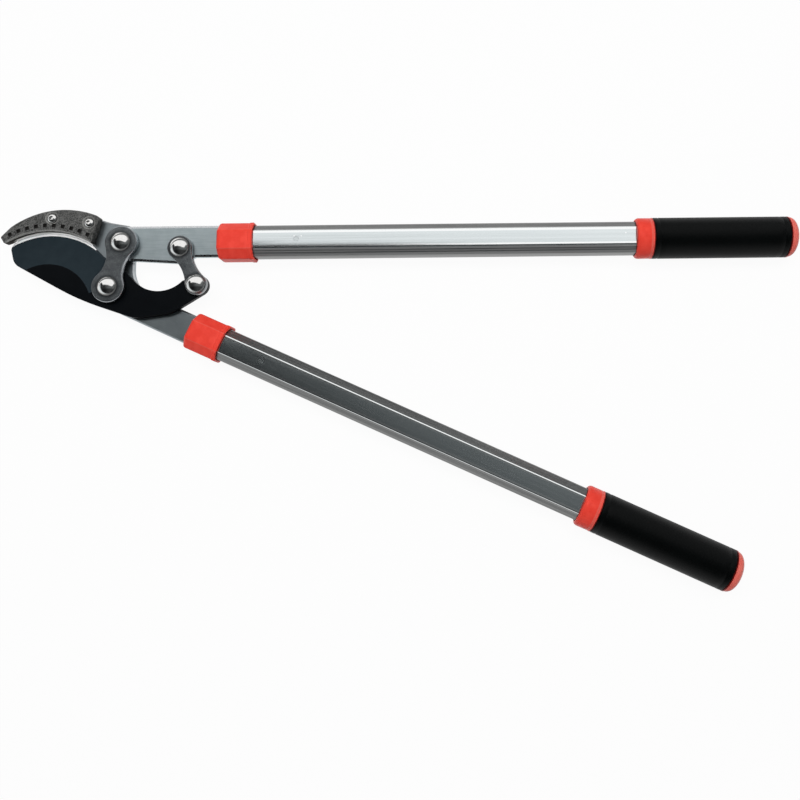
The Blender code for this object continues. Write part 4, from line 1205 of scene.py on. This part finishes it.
def eight_sides(grow, corner, step=15.0):
    """The tube's section moved outwards: wide flats above and below, four slopes and two sides."""
    half_wide, flat, side = 0.0149, 0.0080, 0.0056
    slope = math.atan2(TUBE_HALF_DEPTH - side, half_wide - flat)
    flat += grow * math.tan(slope / 2)
    side += grow * math.tan((math.pi / 2 - slope) / 2)
    x, y = half_wide + grow, TUBE_HALF_DEPTH + grow
    spots = [(flat, y), (x, side), (x, -side), (flat, -y), (-flat, -y), (-x, -side), (-x, side), (-flat, y)]
    return filleted([(Vector(spot), corner) for spot in spots], step)


def along_handle(side):
    """Turns a piece drawn upright so that it lies along a handle, at its height."""
    lie = Matrix(((0, 0, 1, 0), (1, 0, 0, 0), (0, 1, 0, 0), (0, 0, 0, 1)))
    return HANDLES[side][0] @ Matrix.Translation((0, 0, AXIS_HEIGHT)) @ lie


def lofted(name, sections, base=0.0):
    """A closed body through sections of equal point counts, given as (height over base, points)."""
    return skinned(name, [[(*point, base + height) for point in points] for height, points in sections])


def set_on_handle(piece, side, part, degrees, finish):
    """Lay a piece that was drawn upright along a handle, shade it and fit it there."""
    piece.data.transform(along_handle(side))
    soften(piece, degrees)
    fit(piece, side + "_handle", [side + "_" + part], [finish])


def on_handle(finish, side):
    """Where a point of the surface lies on a handle, in millimetres from its ferrule's front end."""
    front, turn = HANDLES[side][:2]
    return finish.place(turn, tuple(front @ Vector((0, 0, AXIS_HEIGHT))))


def red_plastic(name, side, wear_and_sheen=(), gap_shade_bands=(), edge=None):
    """Glossy red moulding, rubbed paler here and there, with painted highlight and sheen on bands and
    edges, and painted shade in bands where it meets other parts.

    Bands are given in millimetres along the handle: where one is painted paler, also how much.
    """
    finish = Finish(name, specular=0.14)
    place = on_handle(finish, side)
    from_ferrule = finish.along(place, "X")
    cloud = finish.noise(place, 0.12, 3.0)
    peel = finish.noise(place, 1.5, 2.0)
    rub = finish.streaks(place, (0.4, 1.6, 1.6), 4.0, 0.7)
    rub = finish.between(rub, 0.6, 0.74)
    pale = rub * 0.2
    # Bands painted paler: painted highlight and sheen.
    for first, last, share in wear_and_sheen:
        pale = pale + finish.band(from_ferrule, first, last, 0.3) * (0.25 + cloud * 0.4) * share
    # Pale lines along the edges of the flats: painted highlight.
    if edge:
        line = finish.band(abs(finish.along(place, "Y")), edge - 0.35, edge + 0.45, 0.25)
        pale = pale + line * (0.30 + rub * 0.4)
    red = finish.blend(finish.between(cloud, 0.3, 0.7), (0.88, 0.054, 0.034), (0.96, 0.076, 0.050))
    red = finish.blend(pale, red, (0.84, 0.20, 0.16))
    # Dark bands where the moulding meets the next part: painted shade.
    for first, last in gap_shade_bands:
        gap_shade = finish.band(from_ferrule, first, last, 0.2)
        red = finish.blend(gap_shade * 0.9, red, (0.055, 0.006, 0.006))
    return finish.done(red, 0.30 + peel * 0.08 + rub * 0.18, peel, 0.03, 0.4)


ferrule_rows = rounded(FERRULE_WALL, 0.0, FERRULE_NOSE, -FERRULE_NOSE, range(0, 91, 15))
ferrule_rows += [  # how far outside the tube, and how far from the front end
    (FERRULE_WALL, FERRULE_LENGTH - 0.0042),
    (FERRULE_WALL + 0.0004, FERRULE_LENGTH - 0.0036),
    (FERRULE_WALL + 0.0005, FERRULE_LENGTH - 0.0006),
    (FERRULE_WALL - 0.0001, FERRULE_LENGTH),
    (0.0009, FERRULE_LENGTH),
    (0.0002, FERRULE_LENGTH - 0.0008),
    (0.0002, TUBE_START + 0.0002),
]
ferrule_body = [(height, eight_sides(grow, 0.0010 + grow / 3)) for grow, height in ferrule_rows]
for side, (_, _, tang_high, tang_low, tang_middle) in HANDLES.items():
    ferrule = lofted(side + "_ferrule_red", ferrule_body)
    low, high = tang_low - SLOT_ROOM, tang_high + SLOT_ROOM
    under, over = tang_middle - AXIS_HEIGHT - SLOT_HALF, tang_middle - AXIS_HEIGHT + SLOT_HALF
    gate = [(low, under), (high, under), (high, over), (low, over)]
    cut_away(ferrule, lofted("slot", [(-0.002, gate), (0.010, gate)]))
    # The pale lines along the edges of the flats are a painted highlight.
    moulding = red_plastic(side + "_ferrule_moulding", side, edge=8.9)
    set_on_handle(ferrule, side, "ferrule", 28, moulding)


# Tubes
# Extruded aluminium, eight-sided, with shallow flutes in the slopes. They are anodised satin; both edges
# of each wide flat are painted bright as a highlight and left smoother, and the slopes are painted darker
# as shade. A steel pin, flush with the flats, holds each to its tang.

TUBE_END = 0.5280
TUBE_WALL = 0.0018
TUBE_MEAN_HALF = 0.0135  # between its half width and its half depth
PIN_FROM_START = 0.0736
PIN_RADIUS = 0.0022


def tube_section():
    """The outline of the extrusion, from one quarter mirrored: flat, fluted slope, side."""
    quarter = [
        (0.0000, 0.01200),
        (0.0074, 0.01200),
        (0.0076, 0.01198),
        (0.0080, 0.01186),
        (0.0083, 0.01166),
        (0.0087, 0.01130),
        (0.0094, 0.01066),
        (0.0098, 0.01020),
        (0.0101, 0.00985),
        (0.0105, 0.00962),
        (0.0112, 0.00900),
        (0.0116, 0.00856),
        (0.0119, 0.00822),
        (0.0123, 0.00799),
        (0.0130, 0.00738),
        (0.0134, 0.00696),
        (0.0138, 0.00655),
        (0.0143, 0.00612),
        (0.0147, 0.00550),
        (0.0149, 0.00470),
        (0.0149, 0.00000),
    ]
    upper = [Vector(spot) for spot in quarter]
    lower = [Vector((x, -y)) for x, y in reversed(quarter[:-1])]
    right = upper + lower
    left = [Vector((-p.x, p.y)) for p in reversed(right[1:-1])]
    return right + left


def drawn_tube():
    """A tree that fills a section and draws it out to a length, like the die of an extruder."""
    bench, given = geometry_tree("drawn_tube", {"Length": 0.0, "Finish": None})
    blank = bench.node("GeometryNodeFillCurve", {"mode": "NGONS"}, {"Curve": given["Geometry"]})
    way = bench.node("ShaderNodeCombineXYZ", {}, {"Z": given["Length"]})
    drawn = bench.node(
        "GeometryNodeExtrudeMesh", {"mode": "FACES"}, {"Mesh": blank, "Offset": way, "Individual": False}
    )
    turned_over = bench.node("GeometryNodeFlipFaces", {}, {"Mesh": blank})
    both = join_shapes(bench, drawn, turned_over)
    closed = bench.node("GeometryNodeMergeByDistance", {}, {"Geometry": both, "Distance": 1e-6})
    return close_tree(bench, closed, given["Finish"])


def anodised(name, side):
    """Satin anodised aluminium with drawn lines, its flats painted bright at both edges as a highlight
    and its slopes painted darker as shade.

    The upper one has three small white dots painted on its flat.
    """
    finish = Finish(name, metallic=1.0)
    place = on_handle(finish, side)
    across = abs(finish.along(place, "Y"))
    height = abs(finish.along(place, "Z"))
    lines = finish.streaks(place, (0.012, 3.0, 3.0), 4.0, 0.65)
    streak = finish.streaks(place, (0.004, 0.5, 0.5), 2.0)
    cloud = finish.streaks(place, (0.02, 0.08, 0.08), 3.0)
    # Both edges of each flat are painted bright as a highlight, and made smoother.
    painted_highlight_band = finish.between(across, 5.6, 6.0) * finish.between(TUBE_HALF_DEPTH * MM - height, 0.7, 0.4)
    slope = finish.between(across, 8.3, 8.8)
    drawn = finish.between(streak * 0.6 + lines * 0.4, 0.3, 0.7)
    flat = finish.blend(drawn, (0.66, 0.71, 0.72), (0.76, 0.81, 0.82))
    # The sloping flutes are painted darker as shade.
    painted_shade_flute = finish.blend(drawn, (0.16, 0.162, 0.162), (0.27, 0.272, 0.27))
    metal = finish.blend(slope, finish.blend(painted_highlight_band, flat, (0.95, 0.97, 0.97)), painted_shade_flute)
    if side == "upper":
        for white_dot in ((71.8, 2.6, 12.0), (78.4, 2.6, 12.0), (377.5, 2.4, 12.0)):
            away = finish.node(
                "ShaderNodeVectorMath", {"operation": "DISTANCE"}, {0: place, 1: white_dot}, "Value"
            )
            metal = finish.blend(finish.between(away, 0.8, 0.3), metal, (1.0, 1.0, 1.0))
    roughness = 0.105 + cloud * 0.05 + lines * 0.04 - painted_highlight_band * 0.05 + slope * 0.19
    return finish.done(metal, roughness, lines, 0.006, 0.3)


tube_tree = drawn_tube()
outside = tube_section()
inside = [point * (1 - TUBE_WALL / TUBE_MEAN_HALF) for point in outside]
for side in HANDLES:
    tube = made_by(
        drawing(side + "_tube_drawn", (outside, inside), "NONE"),
        tube_tree,
        {"Length": TUBE_END - TUBE_START, "Finish": anodised(side + "_tube_anodised", side)},
    )
    tube.data.transform(along_handle(side) @ Matrix.Translation((0, 0, TUBE_START)))
    pin_place = HANDLES[side][0] @ Vector((PIN_FROM_START, 0, 0))
    low, high = AXIS_HEIGHT - TUBE_HALF_DEPTH, AXIS_HEIGHT + TUBE_HALF_DEPTH
    drill = rod(PIN_RADIUS + 0.0001, high + 0.01, low - 0.01)
    cut_away(tube, turned("drill", drill, pin_place.xy))
    soften(tube, 24)
    fit(tube, side + "_handle", [side + "_tube"], [])
    pin_profile = [(0, high), (PIN_RADIUS - 0.0001, high), (PIN_RADIUS, high - 0.0001)]
    pin_profile += [(r, low + high - z) for r, z in reversed(pin_profile)]
    pin = turned(side + "_pin_steel", pin_profile, pin_place.xy, steps=48)
    soften(pin, 30)
    fit(
        pin,
        side + "_handle",
        [side + "_tang_pin"],
        [zinc(side + "_pin_zinc", (0.64, 0.69, 0.70), (0.74, 0.79, 0.80), 0.06)],
    )


# Collars
# A red moulded ring in front of each grip, round outside with a soft front edge and a bead at the
# back. Its mouth is eight-sided like the tube and leaves a narrow shadow gap round it.

COLLAR_START = 0.3875
GRIP_RADIUS = 0.0190
COLLAR_LENGTH = 0.0165

collar_end = COLLAR_LENGTH - 0.0003
collar_rows = [
    (0, collar_end),
    (GRIP_RADIUS - 0.0004, collar_end),
    (GRIP_RADIUS, collar_end - 0.0003),
    (GRIP_RADIUS, collar_end - 0.0016),
    (GRIP_RADIUS - 0.0004, collar_end - 0.0020),
    (GRIP_RADIUS - 0.0002, collar_end - 0.0026),
]
collar_rows += rounded(GRIP_RADIUS - 0.0001, 0.0, 0.0030, -0.0034, range(90, -1, -10)) + [(0, 0)]
mouth_rows = [
    (-0.010, eight_sides(0.0009, 0.0016)),
    (0.0009, eight_sides(0.0007, 0.0016)),
    (0.0018, eight_sides(0.0002, 0.0012)),
    (collar_end + 0.010, eight_sides(0.0002, 0.0012)),
]
# The bead is painted paler as a highlight, and the end against the grip painted dark as shade in the gap.
collar_bead = (COLLAR_START * MM + 12.4, COLLAR_START * MM + 14.9, 1.0)
collar_seam = (COLLAR_START * MM + 15.2, COLLAR_START * MM + 17.0)
for side in HANDLES:
    collar = turned(side + "_collar_red", collar_rows, base=COLLAR_START, steps=96)
    cut_away(collar, lofted("mouth", mouth_rows, COLLAR_START))
    moulding = red_plastic(side + "_collar_moulding", side, wear_and_sheen=[collar_bead], gap_shade_bands=[collar_seam])
    set_on_handle(collar, side, "collar", 30, moulding)


# Grips
# Black rubber sleeves pulled over the tubes' ends. They are straight and round, with a fine pebbled
# skin, a soft bead at both ends and a faint seam from the mould along each side.

GRIP_START = COLLAR_START + COLLAR_LENGTH
GRIP_LENGTH = 0.1237
BEAD = 0.0009
GROOVE_DEPTH = 0.00025


def pebbled_rubber(name, side):
    """Black rubber with a pebbled skin, a little darker in the hollows and polished a little by hands."""
    finish = Finish(name, specular=0.11)
    place = on_handle(finish, side)
    pebbles = finish.between(finish.spots(place, 1.25), 0.05, 0.55)
    fine = finish.noise(place, 3.5, 3.0, 0.6)
    cloud = finish.noise(place, 0.06, 3.0)
    seam = finish.between(abs(finish.along(place, "Z")), 0.35, 0.15)
    black = finish.blend(pebbles, (0.0010, 0.0016, 0.0017), (0.0005, 0.0008, 0.0008))
    return finish.done(
        finish.blend(cloud * 0.35, black, (0.002, 0.003, 0.003)),
        0.38 + cloud * 0.10 + fine * 0.05,
        fine * 0.25 - pebbles * 0.6 + seam * 0.5,
        0.07,
        0.6,
    )


grip_end = [(0.0145, 0.0)]  # radius, and distance from the end of the sleeve
grip_end += rounded(GRIP_RADIUS, 0.0, BEAD, -BEAD, range(0, 91, 18))
grip_end += [
    (GRIP_RADIUS, 0.0040),
    (GRIP_RADIUS - GROOVE_DEPTH, 0.0046),
    (GRIP_RADIUS - GROOVE_DEPTH, 0.0052),
    (GRIP_RADIUS, 0.0058),
]
sleeve_rows = [(0, GRIP_LENGTH)] + [(radius, GRIP_LENGTH - back) for radius, back in grip_end]
sleeve_rows += [(GRIP_RADIUS, GRIP_LENGTH - GRIP_LENGTH * i / 12) for i in range(1, 12)]
sleeve_rows += grip_end[::-1] + [(0, 0)]
bore_section = eight_sides(0.0001, 0.0012)
for side in HANDLES:
    grip = turned(side + "_grip_rubber", sleeve_rows, base=GRIP_START, steps=96)
    bore = lofted("bore", [(-0.01, bore_section), (GRIP_LENGTH + 0.01, bore_section)], GRIP_START)
    cut_away(grip, bore)
    set_on_handle(grip, side, "grip", 35, pebbled_rubber(side + "_grip_skin", side))


# End caps
# Red moulded domes that close the grips. A rim stands a little proud of the rubber, a groove runs
# inside it, and the dome has the small mark of the mould's gate in its middle.

CAP_START = GRIP_START + GRIP_LENGTH + 0.0006
CAP_LENGTH = 0.0108
DOME_RADIUS = 0.0184
DOME_START = 0.0024

cap_rows = [(0, CAP_LENGTH - 0.0004), (0.0007, CAP_LENGTH - 0.0004), (0.0010, CAP_LENGTH - 0.0001)]
cap_rows += [
    (
        DOME_RADIUS * math.sin(math.radians(t)),
        DOME_START + (CAP_LENGTH - DOME_START) * math.cos(math.radians(t)) ** 0.9,
    )
    for t in range(6, 90, 4)
]
cap_rows += [
    (DOME_RADIUS, 0.0022),
    (DOME_RADIUS + 0.0002, 0.0019),
    (GRIP_RADIUS - 0.0001, 0.0017),
    (GRIP_RADIUS, 0.0014),
    (GRIP_RADIUS, 0.0003),
    (GRIP_RADIUS - 0.0005, 0),
    (0, 0),
]
# The dome is painted paler as a sheen, and the foot against the grip painted dark as shade in the groove.
cap_dome = (CAP_START * MM + 0.9, CAP_START * MM + 12.0, 1.7)
cap_seam = (CAP_START * MM - 0.5, CAP_START * MM + 0.7)
for side in HANDLES:
    cap = turned(side + "_cap_red", cap_rows, base=CAP_START, steps=96)
    moulding = red_plastic(side + "_cap_moulding", side, wear_and_sheen=[cap_dome], gap_shade_bands=[cap_seam])
    set_on_handle(cap, side, "cap", 30, moulding)


# Table and light
# The lopper lies on a plain white table under one wide soft light. Dark cloths on a wide ball round
# it show only in gloss: a large one over the near side and a low one beyond the upper handle.


def emptied(owner):
    """The cleared node tree of a material or of the world."""
    owner.use_nodes = True
    owner.node_tree.nodes.clear()
    return Bench(owner.node_tree)


def looked_at(bench):
    """1 where the eye or a gloss or clear surface looks, 0 for light that only falls on things."""
    kinds = ("Is Camera Ray", "Is Glossy Ray", "Is Transmission Ray")
    rays = [bench.node("ShaderNodeLightPath", {}, {}, kind) for kind in kinds]
    return rays[0] + rays[1] + rays[2]


def white_table():
    """A white top that shows at full strength to the eye and in gloss, and still takes a shadow."""
    material = bpy.data.materials.new("white_table")
    bench = emptied(material)
    top = bench.node("ShaderNodeBsdfDiffuse", {}, {"Color": (0.85, 0.85, 0.85, 1)})
    glow = bench.node("ShaderNodeEmission", {}, {"Color": (1, 1, 1, 1), "Strength": 1.0})
    mixed = bench.node("ShaderNodeMixShader", {}, {0: looked_at(bench) * 0.95, 1: top, 2: glow})
    bench.node("ShaderNodeOutputMaterial", {}, {"Surface": mixed})
    return material


table = bmesh.new()
bmesh.ops.create_grid(table, x_segments=1, y_segments=1, size=7.0)
table_top = built("table_top", table)
table_top.data.transform(Matrix.Translation((0.25, 0, -0.0002)))
table_top.data.materials.append(white_table())

CLOTH_CENTRE = Vector((0.3, 0, 0))
CLOTH_REACH = 3.0
CLOTH_HALF = 88  # degrees that it spreads to each side
NEAR_EDGE = (  # place along the lopper, -1 to 1, and degrees off the zenith towards the near side
    (-1.0, -50), (-0.62, -50), (-0.50, -14.3), (-0.27, -14.3), (-0.2, -12.5), (-0.1, -11.5),
    (0.0, -9.5), (0.25, -3.0), (0.38, -3.0), (0.50, -45), (1.0, -50),
)


def dark_cloth():
    """Black cloth, lighter towards the grips, darker where it comes down in front and pale at its foot."""
    material = bpy.data.materials.new("tent_cloth")
    bench = emptied(material)
    spot = bench.node("ShaderNodeTexCoord", {}, {}, "Object")
    east, north, rise = (bench.along(spot, axis) for axis in "XYZ")
    level = bench.between(east, -1.4, 0.9, 0.028, 0.14)
    low = bench.between(rise, 1.40, 0.95, 0.0, 0.80)
    near = bench.between(north, 1.0, 0.0, 0.12, 1.0, way="LINEAR")
    fold = bench.between(north, -0.6, -1.2, 1.0, 0.3, way="LINEAR")
    shine = level * fold + low * near
    glow = bench.node("ShaderNodeEmission", {}, {"Color": (0.92, 0.98, 1.0, 1), "Strength": shine})
    bench.node("ShaderNodeOutputMaterial", {}, {"Surface": glow})
    return material


def lean_at(edge, place):
    """The lean of a cloth's edge at a place, read off (place, lean) rows."""
    for (start, low), (end, high) in zip(edge, edge[1:]):
        if place <= end:
            return low + (high - low) * (place - start) / (end - start)


def cloth_sheet(name, first, last, material, across=60, along=20):
    """Cloth on a wide ball round the lopper, between two edges, that shows only in gloss."""
    work = bmesh.new()
    grid = []
    for j in range(across + 1):
        place = 2 * j / across - 1
        side_way = math.radians(CLOTH_HALF * place)
        near, far = lean_at(first, place), lean_at(last, place)
        row = []
        for i in range(along + 1):
            lean = math.radians(near + (far - near) * i / along)
            flat = math.cos(side_way)
            spot = Vector((math.sin(side_way), -flat * math.sin(lean), flat * math.cos(lean)))
            row.append(work.verts.new(CLOTH_CENTRE + CLOTH_REACH * spot))
        grid.append(row)
    for row, following in zip(grid, grid[1:]):
        for i in range(along):
            work.faces.new((row[i], row[i + 1], following[i + 1], following[i]))
    sheet = built(name, work)
    sheet.data.materials.append(material)
    for ray in ("camera", "diffuse", "transmission", "volume_scatter", "shadow"):
        setattr(sheet, "visible_" + ray, False)


cloth = dark_cloth()
cloth_sheet("near_cloth", NEAR_EDGE, [(-1.0, 72), (1.0, 72)], cloth)
cloth_sheet("far_cloth", [(-1.0, -68), (1.0, -68)], [(-1.0, -87), (1.0, -87)], cloth)

lamp = bpy.data.lights.new("overhead_soft_box", "AREA")
lamp.shape = "RECTANGLE"
lamp.size, lamp.size_y = 1.6, 0.6
lamp.energy = 20.5
soft_box = bpy.data.objects.new("overhead_soft_box", lamp)
bpy.context.scene.collection.objects.link(soft_box)
soft_box.location = (0.25, 0.32, 1.60)
towards = Vector((0.25, -0.05, 0.0)) - soft_box.location
soft_box.rotation_euler = towards.to_track_quat("-Z", "Y").to_euler()
soft_box.visible_glossy = False

world = bpy.data.worlds.new("pale_room")
bpy.context.scene.world = world
room = emptied(world)
dim = room.node("ShaderNodeBackground", {}, {"Color": (1, 1, 1, 1), "Strength": 0.23})
bright = room.node("ShaderNodeBackground", {}, {"Color": (1, 1, 1, 1), "Strength": 1.0})
air = room.node("ShaderNodeMixShader", {}, {0: looked_at(room), 1: dim, 2: bright})
room.node("ShaderNodeOutputWorld", {}, {"Surface": air})


# Camera
# It looks almost straight down from about 0.7 m, leaning a little towards the upper handle, with the
# lens shifted so that the lopper fills the frame.

eye = bpy.data.cameras.new("overhead_camera")
eye.sensor_width = 36.0
eye.lens = 34.313
eye.shift_x = -0.09375
eye.shift_y = -0.06395
eye.clip_start = 0.01
camera = bpy.data.objects.new("overhead_camera", eye)
bpy.context.scene.collection.objects.link(camera)
right = Vector((0.99994, -0.010974, 0.0)).normalized()
up = Vector((0.010867, 0.990208, 0.139173)).normalized()
back = right.cross(up)
turn = Matrix((right, up, back)).transposed().to_4x4()
camera.matrix_world = Matrix.Translation((0.325901, -0.199983, 0.712)) @ turn
bpy.context.scene.camera = camera
bpy.context.scene.view_settings.view_transform = "Standard"
